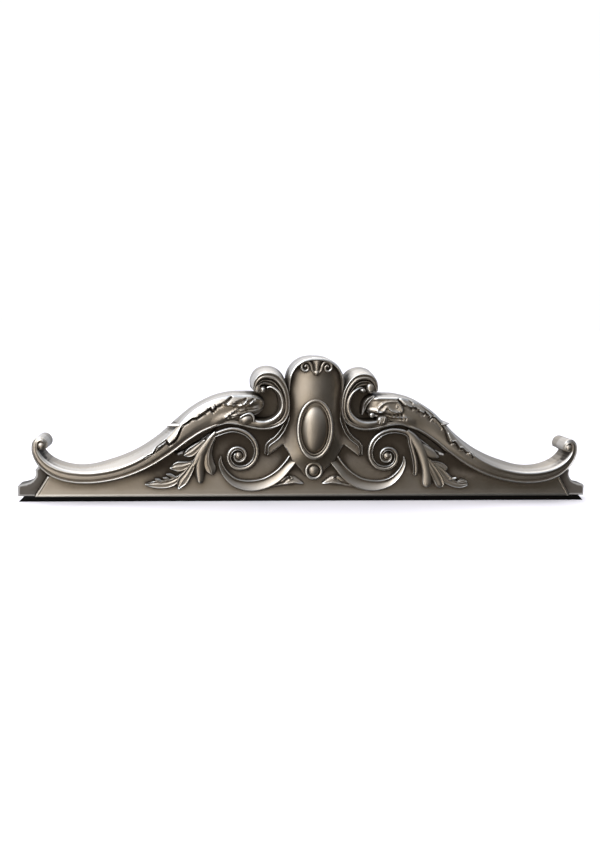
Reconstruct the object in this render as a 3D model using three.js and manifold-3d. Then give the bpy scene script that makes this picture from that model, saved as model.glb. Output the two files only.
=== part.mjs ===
// Scroll onlay: a low cast metal pediment ornament with two long S-scrolls, C-scrolls, small volutes,
// crescents, sprays of leaves and a central cartouche, all one casting with a flat back and underside.
// Millimetres. X runs along the casting, Y into its depth (the front faces -Y), Z up.
// Shapes are drawn on a grid of 300 across each half and 150 up, which the driving sizes stretch.
import * as THREE from 'three';
import { mergeVertices } from 'three/addons/utils/BufferGeometryUtils.js';
import Module from 'manifold-3d';

// Driving sizes, in millimetres
const span = 600; // across the two feet
const height = 152; // from the underside to the crest
const scroll_depth = 32; // from the flat back to the front of the S-scrolls
const cartouche_depth = 31; // to the crown of the cartouche
const boss_rise = 4.5; // of the oval boss above the cartouche
const ring_rise = 2.5; // of the oval ring above the cartouche
const crest_depth = 33; // to the front of the crest's curls
const volute_depth = 25; // to the front of the small volutes
const crescent_depth = 24; // to the front of the crescents
const spray_depth = 23; // to the front of the leaf sprays
const bud_depth = 29; // to the front of the buds
const panel_depth = 20; // to the face of the base panel
const foot_depth = 17; // to the face of the feet
const pocket_depth = 10; // to the floor of the C-scrolls' mouths
const sole_height = 5.3; // of the shadow rebate under the front edge
const sole_setback = 3; // of the rebate behind the panel's face
const bead_height = 3.2; // of the bead along the panel's lower edge
const bead_rise = 0.5; // of that bead in front of the panel
const chamfer = 1.2; // along the edges of the panel and the feet
const body_depth = 23; // to the flat edges and arms of the cartouche's body
const leaf_rise = 1.8; // of the leaves lying on the S-scrolls
const groove_depth = 1.6; // of the grooves run along the scrolls
const hood_rise = 3; // of the hood round the cartouche's head above its crown
const draft = 2; // by which the scrolls' sides spread from front to back, to leave the mould
const crest_set_in = 0.4; // of the crest's curls behind its tongue
const head_lap = 0.5; // of the cartouche's barrel past the middle of the hood, on the grid

// Grid to millimetres
const ux = span / 600;
const uz = height / 150;
const sink = 2; // how far a form reaches behind the back before the back is cut flat
const facet_reach = 21; // the longest facet along a band
const facet_turn = THREE.MathUtils.degToRad(28); // the sharpest turn between two facets
const metal = new THREE.MeshStandardMaterial({ color: 0x7d766b, roughness: 0.38, metalness: 1.0 });

const wasm = await Module();
wasm.setup();

// Turns a closed three.js geometry into a solid, with its faces pointing out whichever way it was drawn.
function solid(geometry) {
  geometry.deleteAttribute('normal');
  geometry.deleteAttribute('uv');
  const merged = mergeVertices(geometry, 1e-4);
  const points = merged.attributes.position.array;
  const faces = merged.index.array.slice();
  let volume = 0;
  const [a, b, c] = [new THREE.Vector3(), new THREE.Vector3(), new THREE.Vector3()];
  for (let i = 0; i < faces.length; i += 3) {
    a.fromArray(points, 3 * faces[i]);
    b.fromArray(points, 3 * faces[i + 1]);
    c.fromArray(points, 3 * faces[i + 2]);
    volume += a.dot(b.cross(c));
  }
  if (volume < 0) {
    for (let i = 0; i < faces.length; i += 3) [faces[i], faces[i + 1]] = [faces[i + 1], faces[i]];
  }
  const mesh = { numProp: 3, vertProperties: new Float32Array(points), triVerts: new Uint32Array(faces) };
  return new wasm.Manifold(new wasm.Mesh(mesh));
}

// A smooth function of t from 0 to 1 through evenly spaced values.
function law(values) {
  const curve = new THREE.SplineCurve(values.map((v, i) => new THREE.Vector2(i, v)));
  return (t) => curve.getPoint(THREE.MathUtils.clamp(t, 0, 1)).y;
}

// Places along a curve, closer together where it bends: each step spends its share of length and of turning.
function stations(curve, reach, turn) {
  const fine = 400;
  const spent = [0];
  let [place, heading] = [curve.getPoint(0), curve.getTangent(0)];
  for (let i = 1; i <= fine; i++) {
    const [next_place, next_heading] = [curve.getPoint(i / fine), curve.getTangent(i / fine)];
    const share = next_place.distanceTo(place) / reach + next_heading.angleTo(heading) / turn;
    spent.push(spent[i - 1] + share);
    [place, heading] = [next_place, next_heading];
  }
  const count = Math.max(3, Math.ceil(spent[fine]));
  const marks = [];
  for (let i = 0, at = 0; i <= count; i++) {
    while (at < fine && spent[at] < spent[fine] * i / count) at++;
    marks.push(at / fine);
  }
  return marks;
}

// A section is a list of [across, rise]: across runs from -1 at one edge to 1 at the other, and rise is
// measured in millimetres from the form's front.
const rolled = [[-1, -4], [-0.86, -0.6], [-0.62, 0], [-0.42, -groove_depth], [0.1, -0.5],
  [0.5, -groove_depth], [0.62, 0.4], [0.9, 0], [1, -2.4]];
const beaded = [[-1, -3], [-0.6, 0], [0, -groove_depth], [0.6, 0], [1, -3]];
const hollowed = [[-1, -2.2], [-0.85, 0.2], [-0.6, -groove_depth], [-0.1, -groove_depth], [0.7, 0.1],
  [1, -2.8]];
const banded = [[-1, -6], [-0.7, -3.4], [-0.2, -3.2], [0.1, -0.8], [0.5, 0], [0.85, 0.2], [1, -2.2]];
const lined = [[-1, -2.6], [-0.74, 0], [0, -groove_depth], [0.74, 0], [1, -2.6]];
const arched = [[-1, -4], [-0.6, -0.9], [0, 0], [0.6, -0.9], [1, -4]];
const creased = [[-1, -2.4], [0, 0], [1, -2.4]];

// A band of varying width run along a path on the grid: path is a list of [x, z], half its half widths,
// depth its front's distance from the back, drop how far that front falls back along the path, and spread
// how much wider it stands at the back, also along the path; upper_spread is the spread past its edge at 1.
function band(side, {
  path, half, depth, drop = [0, 0], section, spread = [0, 0], upper_spread = spread, closed = false,
}) {
  const points = path.map(([x, z]) => new THREE.Vector3(side * x * ux, 0, z * uz));
  const curve = new THREE.CatmullRomCurve3(points, closed, 'centripetal');
  const marks = stations(curve, facet_reach, facet_turn);
  if (closed) marks.pop();
  const width = law(half);
  const fall = law(drop);
  const flares = [law(upper_spread), law(spread)];
  const ring = section.length + 2;
  const verts = [];
  const faces = [];
  for (const t of marks) {
    const centre = curve.getPoint(t);
    const along = curve.getTangent(t);
    const out = new THREE.Vector3(along.z, 0, -along.x).multiplyScalar(side);
    const reach = width(t) * (ux + uz) / 2;
    const front = depth - fall(t);
    for (const [across, rise] of section) {
      const p = centre.clone().addScaledVector(out, across * reach);
      const lift = rise * Math.min(1, reach / 3);
      verts.push(p.x, -(front + lift), p.z);
    }
    for (const [i, across] of [1, -1].entries()) {
      const p = centre.clone().addScaledVector(out, across * (reach + flares[i](t)));
      verts.push(p.x, sink, p.z);
    }
  }
  const rows = closed ? marks.length : marks.length - 1;
  for (let i = 0; i < rows; i++) {
    const next = (i + 1) % marks.length;
    for (let j = 0; j < ring; j++) {
      const k = (j + 1) % ring;
      const [p, q, r, s] = [i * ring + j, i * ring + k, next * ring + k, next * ring + j];
      faces.push(p, q, r, p, r, s);
    }
  }
  if (!closed) {
    const end = (marks.length - 1) * ring;
    for (let j = 1; j < ring - 1; j++) {
      faces.push(0, j + 1, j);
      faces.push(end, end + j, end + j + 1);
    }
  }
  const geometry = new THREE.BufferGeometry();
  geometry.setAttribute('position', new THREE.Float32BufferAttribute(verts, 3));
  geometry.setIndex(faces);
  return solid(geometry);
}

// A flat plate of the given grid outline, from behind the back to its face, with its edge chamfered.
function plate(outline, face, bevel) {
  const shape = new THREE.Shape(outline.map(([x, z]) => new THREE.Vector2(x * ux, z * uz)));
  const geometry = new THREE.ExtrudeGeometry(shape, {
    depth: face + sink - bevel, bevelEnabled: bevel > 0, bevelThickness: bevel, bevelSize: bevel,
    bevelOffset: -bevel, bevelSegments: 1, steps: 1,
  });
  geometry.rotateX(Math.PI / 2);
  geometry.translate(0, sink, 0);
  return solid(geometry);
}

// A dome on the grid: half an ellipsoid whose crown stands at the given depth.
function dome([x, z], radii, depth, segments) {
  const geometry = new THREE.SphereGeometry(1, segments, Math.round(segments / 2));
  geometry.rotateX(Math.PI / 2);
  geometry.scale(radii[0] * ux, radii[1], radii[2] * uz);
  geometry.translate(x * ux, radii[1] - depth, z * uz);
  return solid(geometry);
}

function box([x0, y0, z0], [x1, y1, z1]) {
  const geometry = new THREE.BoxGeometry(x1 - x0, y1 - y0, z1 - z0);
  geometry.translate((x0 + x1) / 2, (y0 + y1) / 2, (z0 + z1) / 2);
  return solid(geometry);
}

function union(parts) {
  return parts.reduce((whole, part) => whole.add(part));
}

// One half of an outline and its mirror image, and a list run on backwards past its last item.
const mirrored = (outline) => [...outline, ...outline.map(([x, z]) => [-x, z]).reverse()];
const flipped = (item) => (Array.isArray(item) ? [-item[0], item[1]] : item);
const over = (half) => [...half, ...half.slice(0, -1).map(flipped).reverse()];

// Points of a spiral that winds inward about a centre: its radius falls by the same share in each degree.
function spiral([x, z], radius, shrink, from, to, step) {
  const points = [];
  const turn = to > from ? step : -step;
  const count = Math.round((to - from) / turn);
  for (let i = 0; i <= count; i++) {
    const angle = THREE.MathUtils.degToRad(from + i * turn);
    const r = radius * Math.exp(-shrink * THREE.MathUtils.degToRad(i * step));
    points.push([x + r * Math.cos(angle), z + r * Math.sin(angle)]);
  }
  return points;
}

// The long S-scroll: from the small curl above the foot, down, along and up to the broad snout.
const s_scroll = {
  path: [[269.4, 55.8], [268.8, 60.4], [271.4, 64.4], [275.4, 65.4], [279, 62.2], [279.8, 55],
    [276.8, 46.5], [269.8, 38.2], [259.5, 31.8], [245, 27.8], [227, 26.8], [207, 29.4], [189, 34.6],
    [170, 43.6], [150, 57.4], [133, 72.4], [117, 85], [99, 93.2], [83, 98], [73, 99.8], [65, 100.4]],
  half: [1, 1.5, 2, 2.5, 2.9, 3.4, 4.3, 5.4, 6.1, 6.4, 6.4, 6.4, 6.6, 7, 7.8, 9.6, 12, 13.4, 12.4, 10.6,
    7.6],
  drop: [1.5, 0.8, 0, 0, 0, 0, 0, 0, 0, 0, 0, 0, 0, 0, 0, 0, 0, 0, 0, 1.5, 14],
  spread: [0, 0, 0, 0, 0, 0.2, 0.6, 1.4, 1.8, ...Array(12).fill(draft)],
  upper_spread: [0, 0, 0, 0, 0, 0, 0.2, 0.6, 1.2, 1.6, 3, 5.4, 6.2, 6.2, 5.6, 4.2, 2.2,
    ...Array(4).fill(draft)],
};
const snout = { centre: [66.5, 100.4], radii: [14.6, 18, 10] };
const curl_ball = { centre: [273.4, 58.6], radius: 4.7 };

// The C-scroll: over the top from its end in the mouth, down beside the cartouche and under the snout.
const c_scroll = {
  path: [[63.6, 114.6], [62.2, 120], [60, 124.8], [56, 128.2], [49, 128.8], [41.9, 126.6], [36.1, 120.6],
    [32.6, 112.6], [31.2, 103], [31.9, 94], [35.8, 86.8], [43, 82.4], [52, 80.8], [62, 81.4], [74, 84],
    [90, 85.6], [106, 80.5], [120, 72.5]],
  half: [1, 2.4, 3.5, 4.7, 5.5, 6, 5.6, 5, 4.6, 4.9, 5, 4.7, 4.4, 4.4, 4.4, 4.2, 3.4, 2.5],
  drop: [3, 1.5, 0.5, 0, 0, 0, 0, 0, 0, 0.5, 1, 1.2, 1.5, 1.6, 2, 2.5, 3, 4],
  spread: [draft, draft],
  upper_spread: [1, 2, 3, 4, 4.4, 4, 3, 2.4, ...Array(10).fill(draft)],
};
const c_roll = {
  path: [[50.6, 118], [46.6, 119.3], [41.8, 117.2], [37.2, 113], [34.4, 107.2], [33.4, 101], [34.6, 94.8],
    [38.2, 89.3], [43.4, 85], [50, 82.3], [56, 81.8], [62, 82.8], [69, 84.2], [78, 85.4]],
  half: [0.6, 0.8, 1, 1.4, 1.8, 2, 2.2, 2.6, 3, 3.3, 3.4, 3.2, 2.6, 1.8],
  drop: [2.6, 1.8, 1, 0.4, 0, 0, 0, 0, 0, 0, 0, 0.6, 1.4, 3],
};
const c_balls = [{ centre: [55.4, 117], radius: 3.8 }, { centre: [49.4, 116.4], radius: 2.8 }];

// The C-scroll's rim run on downward along the arm of the cartouche, cut off square.
const c_tail = {
  path: [[29.4, 104], [28.4, 96], [28.2, 88], [30.6, 80.2], [34.4, 73], [40.2, 66.2], [45.4, 62.4],
    [48.2, 59.4], [49, 55.6], [49.2, 50]],
  half: [1.6, 2, 2.3, 2.4, 2.5, 2.6, 2.6, 2.3, 2.2, 2.2],
  drop: [-1, -0.5, 0, 0.3, 0.8, 1, 1, 1, 1, 1],
};

// The small volute, run outward into the first tongue of the leaf spray: it winds in fast for the first
// turn, slower from there.
const volute_centre = [77.7, 48];
const volute_radius = 31.6;
const volute_start = 46;
const volute_knee = 256;
const volute_end = 510;
const fast_shrink = 0.25;
const slow_shrink = 0.135;
const volute_step = 30;
const volute_eye = { radius: 3.4, height: 8 };
const fast_turn = THREE.MathUtils.degToRad(volute_knee - volute_start);
const knee_radius = volute_radius * Math.exp(-fast_shrink * fast_turn);
const volute_path = [[108.6, 27.6], [108.8, 35], [107.6, 44], [104.8, 54], [102.2, 62],
  ...spiral(volute_centre, volute_radius, fast_shrink, volute_start, volute_knee, volute_step),
  ...spiral(volute_centre, knee_radius, slow_shrink, volute_knee, volute_end, volute_step).slice(1)];
const volute_half = [2.7, 3, 3, ...Array(8).fill(2.8), 2.7, 2.5, 2.2, 1.9, 1.6, 1.3, 1.1];

// The crescent under the volute, from its cut end beside the cartouche to its horn.
const crescent = {
  path: [[19.6, 48], [22.4, 43.8], [29.1, 35.5], [36, 28], [43.2, 22.9], [51.2, 19.3], [62.3, 17.2],
    [73, 18], [82.6, 21.7], [90.2, 28.6], [94.8, 36.3], [96.4, 42], [95.8, 47.6]],
  half: [5.6, 5.6, 5.4, 6, 6.2, 6.1, 6.1, 5.5, 4.6, 3.6, 2.6, 1.7, 0.4],
  drop: [1.4, 0.6, 0, 0, 0, 0, 0, 0, 0, 0, 0, 0.4, 1],
};

// Leaves of the two sprays, the bud leaf beside the bead ring, and the leaves lying along the S-scroll.
const left_spray = [
  { path: [[101.6, 72], [105.4, 67], [110.8, 58.6], [115, 51.2], [119.6, 43], [124, 37]],
    half: [2, 2.8, 3.6, 4.4, 4, 1], rise: 0.9 },
  { path: [[114.6, 54], [116.4, 44], [117.2, 33], [116.5, 19.8]], half: [3.2, 4, 4.2, 2.4], rise: 0.9 },
  { path: [[120.6, 45], [125, 37.8], [129.9, 29.2], [135.4, 21.5], [139.5, 13.8]],
    half: [2.2, 3, 4.4, 5.2, 0.5], rise: 0.5 },
  { path: [[126, 36], [131, 31.6], [138, 25.4], [145, 20.9], [152, 18.9], [160.5, 18.8], [167, 18.6],
    [172.6, 18.9]], half: [1.4, 2, 2.8, 3.8, 4.1, 4, 2.5, 0.4], rise: 0 },
  { path: [[122, 42.4], [128, 39.8], [134.5, 37.5], [140.5, 36.6], [148, 35.2]],
    half: [1.2, 2.6, 4.7, 4.9, 0.5], rise: -0.4 },
  { path: [[112.6, 64], [119.5, 57.5], [126, 52], [130.6, 49.6], [133.6, 48.2]],
    half: [1.6, 3.6, 4.7, 3.2, 0.5], rise: -0.4 },
];
const right_spray = [
  { path: [[98, 75], [103.6, 69.4], [109, 62.6], [114, 54], [118, 43], [120.4, 33], [121.5, 24.4],
    [121.7, 13]], half: [2.2, 3.6, 4.4, 4.6, 4.4, 4.2, 4.8, 3.4], rise: 0.9 },
  { path: [[119.6, 46], [123.6, 40.6], [128.9, 32.2], [133.9, 23.8], [138.4, 13.4]],
    half: [1.4, 3, 4.3, 5, 3], rise: 0.5 },
  { path: [[121, 46], [126, 41.1], [134.3, 33.4], [141.9, 25.4], [148.8, 20.2], [157.6, 17.6],
    [167.6, 19]], half: [1.2, 2, 3.8, 5, 3.8, 3, 1], rise: 0.2 },
  { path: [[120.6, 43.6], [125.5, 41.4], [131.5, 39.9], [137.5, 37.3], [144.4, 34.3]],
    half: [1, 2, 2.9, 3.6, 1.2], rise: -0.2 },
  { path: [[108, 64], [115, 58], [121.6, 53.2], [127.6, 49.4], [134, 46.9]],
    half: [2, 3.8, 4.8, 4, 0.7], rise: -0.2 },
];
const bud_leaf = { path: [[43, 17.6], [30.4, 22], [20.6, 23], [9.6, 18.8]], half: [1.6, 5, 5.4, 0.6] };
const scroll_leaves = [
  {
    path: [[64, 104.5], [76, 105], [92, 102.6], [108, 96.4], [122, 88.4], [134, 78.6], [140.5, 69.4]],
    half: [2.6, 5.2, 6.8, 7.4, 6.6, 4.6, 0.6],
  },
  { path: [[131, 84], [142, 73], [149.4, 61.4]], half: [4.2, 5, 0.6] },
  { path: [[146, 71], [157, 61], [165.4, 51.6]], half: [3.4, 3.8, 0.6] },
  { path: [[159, 60], [167.6, 53.4], [175, 47.4]], half: [2.4, 2.4, 0.6] },
];
const bud = { centre: [71.4, 89], radii: [6.8, 6, 5.6] };

// The cartouche: the outline of its flat body, and the barrel on it, given by its half width and the drop
// of its crown at even steps of height from the foot to the head, which stays just under the hood.
const body_outline = [[0, 146.5], [8, 146], [14.6, 144], [20.6, 139.6], [24.6, 133], [26.6, 126],
  [27.6, 116], [27.4, 106], [27.6, 96], [28.2, 88], [30.6, 79.4], [34.8, 71.8], [40, 66], [45.4, 62],
  [47.8, 59], [48.2, 55], [47.8, 48.2], [31.8, 60.2], [25.2, 49.4], [22.6, 44], [18.3, 39.6],
  [13.4, 34.2], [9, 28], [0, 26]];
const barrel_half = [8, 13, 19, 24, 28, 30, 30.4, 29.6, 28.4, 27.8, 27.5, 27.4, 27.6, 27.2, 26.2, 24,
  17.4, 4.5];
const barrel_drop = [8.8, 7.8, 6, 3.9, 1.8, 0.4, ...Array(9).fill(0), 0.2, 0.8, 1];
const barrel = [[-1, -9], [-0.85, -6.5], [-0.5, -3], [-0.2, -0.5], [0.2, -0.5], [0.5, -3],
  [0.85, -6.5], [1, -9]];
const hood = {
  path: [[27.2, 112], [27.4, 121], [27, 128.2], [24.8, 134.8], [20.6, 141.4], [14.1, 146], [7.9, 147.9],
    [0, 148.5]],
  half: [0.5, 0.9, 1.2, 1.3, 1.4, 1.5, 1.5, 1.5],
  drop: [6, 2, 0, 0, 0, 0, 0, 0],
  section: [[-1, -4], [-0.5, 0], [0.3, 0], [1, -2]],
};
const barrel_foot = 27;
const barrel_head = hood.path.at(-1)[1] + head_lap;
const oval = { centre: [0, 76.6], outer: [17.3, 29.2], inner: [14.6, 25.4], boss: [13, 23.6] };
const bead = { centre: [0, 32.9], ring: 7.9, ball: 5.9, depth: 26 };
const crest_curl = {
  path: [[2.6, 133.8], [4.6, 137], [5.7, 141.2], [8.2, 144.6], [12, 144.8], [14.9, 142], [15, 137.9],
    [12, 135.6], [9, 137], [8.9, 140], [11, 141.4], [12.2, 139.6]],
  half: [1, 1.3, 1.4, 1.4, 1.4, 1.4, 1.3, 1.2, 1.1, 1, 0.9, 0.7],
};
const crest_tongue = {
  path: [[0, height / uz], [0, 145.6], [0, 140], [0, 136], [0, 130]],
  half: [4.6, 3.4, 2.2, 2.6, 2],
  drop: [1.5, 0.2, 0, 0, 1],
};

function oval_ring([x, z], [rx, rz], half, depth) {
  const path = Array.from({ length: 16 }, (_, i) => {
    const angle = i / 16 * 2 * Math.PI;
    return [x + rx * Math.cos(angle), z + rz * Math.sin(angle)];
  });
  const section = [[-1, -1.2], [0, 0], [1, -1.2]];
  return band(1, { path, half: [half, half], depth, section, closed: true });
}

function half_onlay(side) {
  const parts = [];
  const both = ([x, z]) => [side * x, z];
  parts.push(band(side, { ...s_scroll, depth: scroll_depth, section: rolled }));
  parts.push(dome(both(snout.centre), snout.radii, scroll_depth - 0.6, 14));
  const curl_radii = [curl_ball.radius, scroll_depth, curl_ball.radius];
  parts.push(dome(both(curl_ball.centre), curl_radii, scroll_depth + 0.6, 10));
  parts.push(band(side, { ...c_scroll, depth: scroll_depth, section: banded }));
  parts.push(band(side, { ...c_roll, depth: scroll_depth - 0.6, section: arched }));
  for (const ball of c_balls) {
    const radii = [ball.radius, scroll_depth, ball.radius];
    parts.push(dome(both(ball.centre), radii, scroll_depth - 1, 10));
  }
  parts.push(band(side, { ...c_tail, depth: volute_depth + 2, section: lined }));
  parts.push(band(side, { path: volute_path, half: volute_half, depth: volute_depth, section: beaded }));
  const eye_radii = [volute_eye.radius, volute_eye.height, volute_eye.radius];
  parts.push(dome(both(volute_centre), eye_radii, volute_depth + 0.5, 10));
  parts.push(band(side, { ...crescent, depth: crescent_depth, section: hollowed }));
  parts.push(band(side, { ...bud_leaf, depth: spray_depth, section: creased }));
  for (const { path, half, rise } of side < 0 ? left_spray : right_spray) {
    parts.push(band(side, { path, half, depth: spray_depth + rise, section: creased }));
  }
  for (const { path, half } of scroll_leaves) {
    parts.push(band(side, { path, half, depth: scroll_depth + leaf_rise, section: creased }));
  }
  parts.push(dome(both(bud.centre), bud.radii, bud_depth + leaf_rise, 10));
  return parts;
}

function centre_piece() {
  const barrel_step = (barrel_head - barrel_foot) / (barrel_half.length - 1);
  const barrel_path = barrel_half.map((_, i) => [0, barrel_foot + barrel_step * i]);
  const parts = [plate(mirrored(body_outline.slice(1, -1)), body_depth, chamfer / 2), band(1, {
    path: barrel_path, half: barrel_half, drop: barrel_drop, depth: cartouche_depth, section: barrel,
  })];
  parts.push(band(1, {
    ...hood,
    path: over(hood.path),
    half: over(hood.half),
    drop: over(hood.drop),
    depth: cartouche_depth + hood_rise,
  }));
  parts.push(oval_ring(oval.centre, oval.outer, 1.7, cartouche_depth + ring_rise));
  parts.push(oval_ring(oval.centre, oval.inner, 1, cartouche_depth + ring_rise - 1));
  const boss_radii = [oval.boss[0], boss_rise + 3, oval.boss[1]];
  parts.push(dome(oval.centre, boss_radii, cartouche_depth + boss_rise, 20));
  parts.push(oval_ring(bead.centre, [bead.ring, bead.ring], 1.4, bead.depth));
  parts.push(dome(bead.centre, [bead.ball, 6, bead.ball], bead.depth, 14));
  parts.push(band(1, { ...crest_tongue, depth: crest_depth, section: arched }));
  for (const side of [1, -1]) {
    parts.push(band(side, { ...crest_curl, depth: crest_depth - crest_set_in, section: arched }));
  }
  return parts;
}

// The base: the panel with its slanting ends, the feet with their hollowed tops, and the ground behind the
// scrolls.
const foot_step = sole_height / uz;
const panel_end = [282.6, foot_step];
const panel_outline = mirrored([panel_end, [270.4, 25.5], [262, 31], [244, 27], [226, 26], [206, 30],
  [188, 35], [170, 44], [150, 57], [141, 50], [128, 55.4], [116, 64.4], [106, 71.4], [99, 78],
  [90, 84.6], [78, 86], [60, 82], [46, 84], [32, 92], [26, 110]]);
const foot_outline = [[300, foot_step], [300, 15.4], [298.6, 17], [292.4, 17.6], [287.4, 19.6],
  [283.8, 23.4], [281.9, 28], [282.4, 31], [279, 38], [262, 33], [262, foot_step]];
const ground_outline = mirrored([[268, foot_step], [268, 37], [244, 30], [226, 29], [206, 33],
  [188, 38], [170, 48], [150, 62], [133, 78], [116, 92], [98, 99], [80, 103], [62, 107], [60, 124],
  [46, 130], [32, 120], [20, 118]]);

function base() {
  const parts = [plate(panel_outline, panel_depth, chamfer), plate(ground_outline, pocket_depth, 0)];
  for (const side of [1, -1]) {
    parts.push(plate(foot_outline.map(([x, z]) => [side * x, z]), foot_depth, chamfer));
  }
  return union([...parts, panel_bead(), sole()]);
}

// The bead along the panel's lower edge, a bar with a half-octagon front.
function panel_bead() {
  const end = (panel_end[0] - bead_height / 2) * ux;
  const [low, high, crown] = [sole_height, sole_height + bead_height, panel_depth + bead_rise];
  const corners = [[-sink, low], [panel_depth, low], [crown, low + bead_height * 0.3],
    [crown, low + bead_height * 0.7], [panel_depth, high], [-sink, high]];
  const shape = new THREE.Shape(corners.map(([y, z]) => new THREE.Vector2(y, z)));
  const geometry = new THREE.ExtrudeGeometry(shape, { depth: 2 * end, bevelEnabled: false });
  const forward = new THREE.Vector3(0, -1, 0);
  const up = new THREE.Vector3(0, 0, 1);
  const along = new THREE.Vector3(1, 0, 0);
  geometry.applyMatrix4(new THREE.Matrix4().makeBasis(forward, up, along).setPosition(-end, 0, 0));
  return solid(geometry);
}

// The sole: the part below the front edge, set back behind it, its ends slanting out to the floor.
function sole() {
  const face = panel_depth - sole_setback;
  const outline = mirrored([[299, 0], [294, foot_step]]);
  return plate(outline, face, 0);
}

const forms = [base(), ...centre_piece(), ...half_onlay(1), ...half_onlay(-1)];
const far = span + height;
const cast = union(forms)
  .subtract(box([-far, 0, -far], [far, far, far]))
  .subtract(box([-far, -far, -far], [far, far, 0]));

const mesh = cast.getMesh();
const geometry = new THREE.BufferGeometry();
geometry.setAttribute('position', new THREE.Float32BufferAttribute(mesh.vertProperties, 3));
geometry.setIndex(new THREE.Uint32BufferAttribute(mesh.triVerts, 1));
geometry.computeBoundingBox();
const middle = geometry.boundingBox.getCenter(new THREE.Vector3());
geometry.translate(-middle.x, -middle.y, 0);
geometry.computeVertexNormals();

const onlay = new THREE.Mesh(geometry, metal);
onlay.name = 'scroll_onlay';
const group = new THREE.Group();
group.add(onlay);

export default group;
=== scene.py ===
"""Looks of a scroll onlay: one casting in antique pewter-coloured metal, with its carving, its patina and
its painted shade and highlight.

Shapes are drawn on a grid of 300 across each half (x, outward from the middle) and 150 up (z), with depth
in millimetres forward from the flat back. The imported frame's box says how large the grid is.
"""

from __future__ import annotations

import logging
import math
from dataclasses import dataclass, field
from enum import Enum
from typing import Callable, Iterable, Sequence

import bpy
import numpy as np
from mathutils import Matrix, Vector
from mathutils.geometry import delaunay_2d_cdt


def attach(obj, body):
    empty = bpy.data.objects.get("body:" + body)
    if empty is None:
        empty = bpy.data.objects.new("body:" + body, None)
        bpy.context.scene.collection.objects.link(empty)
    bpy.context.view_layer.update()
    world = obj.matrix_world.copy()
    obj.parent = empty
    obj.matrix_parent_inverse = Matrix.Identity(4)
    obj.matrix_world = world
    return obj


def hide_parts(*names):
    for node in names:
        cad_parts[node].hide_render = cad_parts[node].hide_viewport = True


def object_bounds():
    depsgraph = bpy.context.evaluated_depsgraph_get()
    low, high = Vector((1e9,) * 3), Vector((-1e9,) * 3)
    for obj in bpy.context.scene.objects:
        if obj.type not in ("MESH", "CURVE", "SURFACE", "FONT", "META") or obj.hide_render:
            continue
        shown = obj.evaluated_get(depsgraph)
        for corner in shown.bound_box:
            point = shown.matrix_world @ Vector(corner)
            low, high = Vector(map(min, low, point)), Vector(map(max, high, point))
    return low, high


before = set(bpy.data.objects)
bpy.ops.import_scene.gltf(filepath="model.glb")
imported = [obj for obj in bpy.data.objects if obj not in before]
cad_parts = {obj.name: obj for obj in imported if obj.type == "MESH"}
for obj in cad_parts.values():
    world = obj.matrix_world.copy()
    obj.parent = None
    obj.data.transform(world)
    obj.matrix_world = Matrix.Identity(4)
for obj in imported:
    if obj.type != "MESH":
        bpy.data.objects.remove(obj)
CAD_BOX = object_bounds()

Array = np.ndarray
Points = Sequence[tuple[float, float]]
log = logging.getLogger("scroll_onlay")

NODE = "scroll_onlay"
BODY = "root"

# The drawing grid, and the driving depths in millimetres from the flat back
GRID_SPAN = 600.0
GRID_HEIGHT = 150.0
FULL_DEPTH = 35.5
SCROLL_DEPTH = 32.0
CARTOUCHE_DEPTH = 31.0
CREST_DEPTH = 33.0
VOLUTE_DEPTH = 25.0
CRESCENT_DEPTH = 24.0
SPRAY_DEPTH = 23.0
BUD_DEPTH = 30.8
PANEL_DEPTH = 20.0
FOOT_DEPTH = 17.0
POCKET_DEPTH = 10.0
SOLE_HEIGHT = 5.3
SOLE_DEPTH = 17.0
LEAF_RISE = 1.8
DRAFT = 2.0
EMBEDDED = 8.0  # depth at which a form that stands on the panel or the ground may end, inside them

SHARP_EDGE = math.radians(42)  # faces that meet at a greater angle are shaded as an edge

RGBA = tuple[float, float, float, float]


class Side(Enum):
    """The half of the casting that a form is on, as the sign of its x."""

    LEFT = -1
    RIGHT = 1


def unit(vectors: Array) -> Array:
    """Vectors at length one."""
    return vectors / np.maximum(np.linalg.norm(vectors, axis=-1, keepdims=True), 1e-12)


def smooth(low: float, high: float, values: Array) -> Array:
    """Smooth step: 0 below low, 1 above high, and the cubic 3u^2 - 2u^3 between them."""
    u = np.clip((values - low) / (high - low), 0, 1)
    return u * u * (3 - 2 * u)


def cubic(start: Array, end: Array, rise: Array, fall: Array, u: Array) -> Array:
    """The cubic from start at u = 0 to end at u = 1, whose slopes there are rise and fall.

    Args:
        start: Value at the start.
        end: Value at the end.
        rise: Slope at the start.
        fall: Slope at the end.
        u: Share of the way.

    Returns:
        The cubic's values at u.
    """
    third = 2 * start - 2 * end + rise + fall
    second = 3 * end - 3 * start - 2 * rise - fall
    return third * u**3 + second * u**2 + rise * u + start


def spline(values: Array | Sequence[float], t: Array) -> Array:
    """Smooth interpolation through evenly spaced values.

    Between two of them it is the cubic whose slope at each is half the difference of its neighbours.

    Args:
        values: The values, one row each.
        t: Shares of the way from the first to the last, 0 to 1.

    Returns:
        One row for each share.
    """
    given = np.asarray(values, float)
    last = len(given) - 1
    place = np.clip(t, 0, 1) * last
    span = np.minimum(place.astype(int), last - 1)
    u = (place - span).reshape(-1, *([1] * (given.ndim - 1)))
    before, start, end, after = (given[np.clip(span + k, 0, last)] for k in (-1, 0, 1, 2))
    rise, fall = (end - before) / 2, (after - start) / 2
    return cubic(start, end, rise, fall, u)


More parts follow.
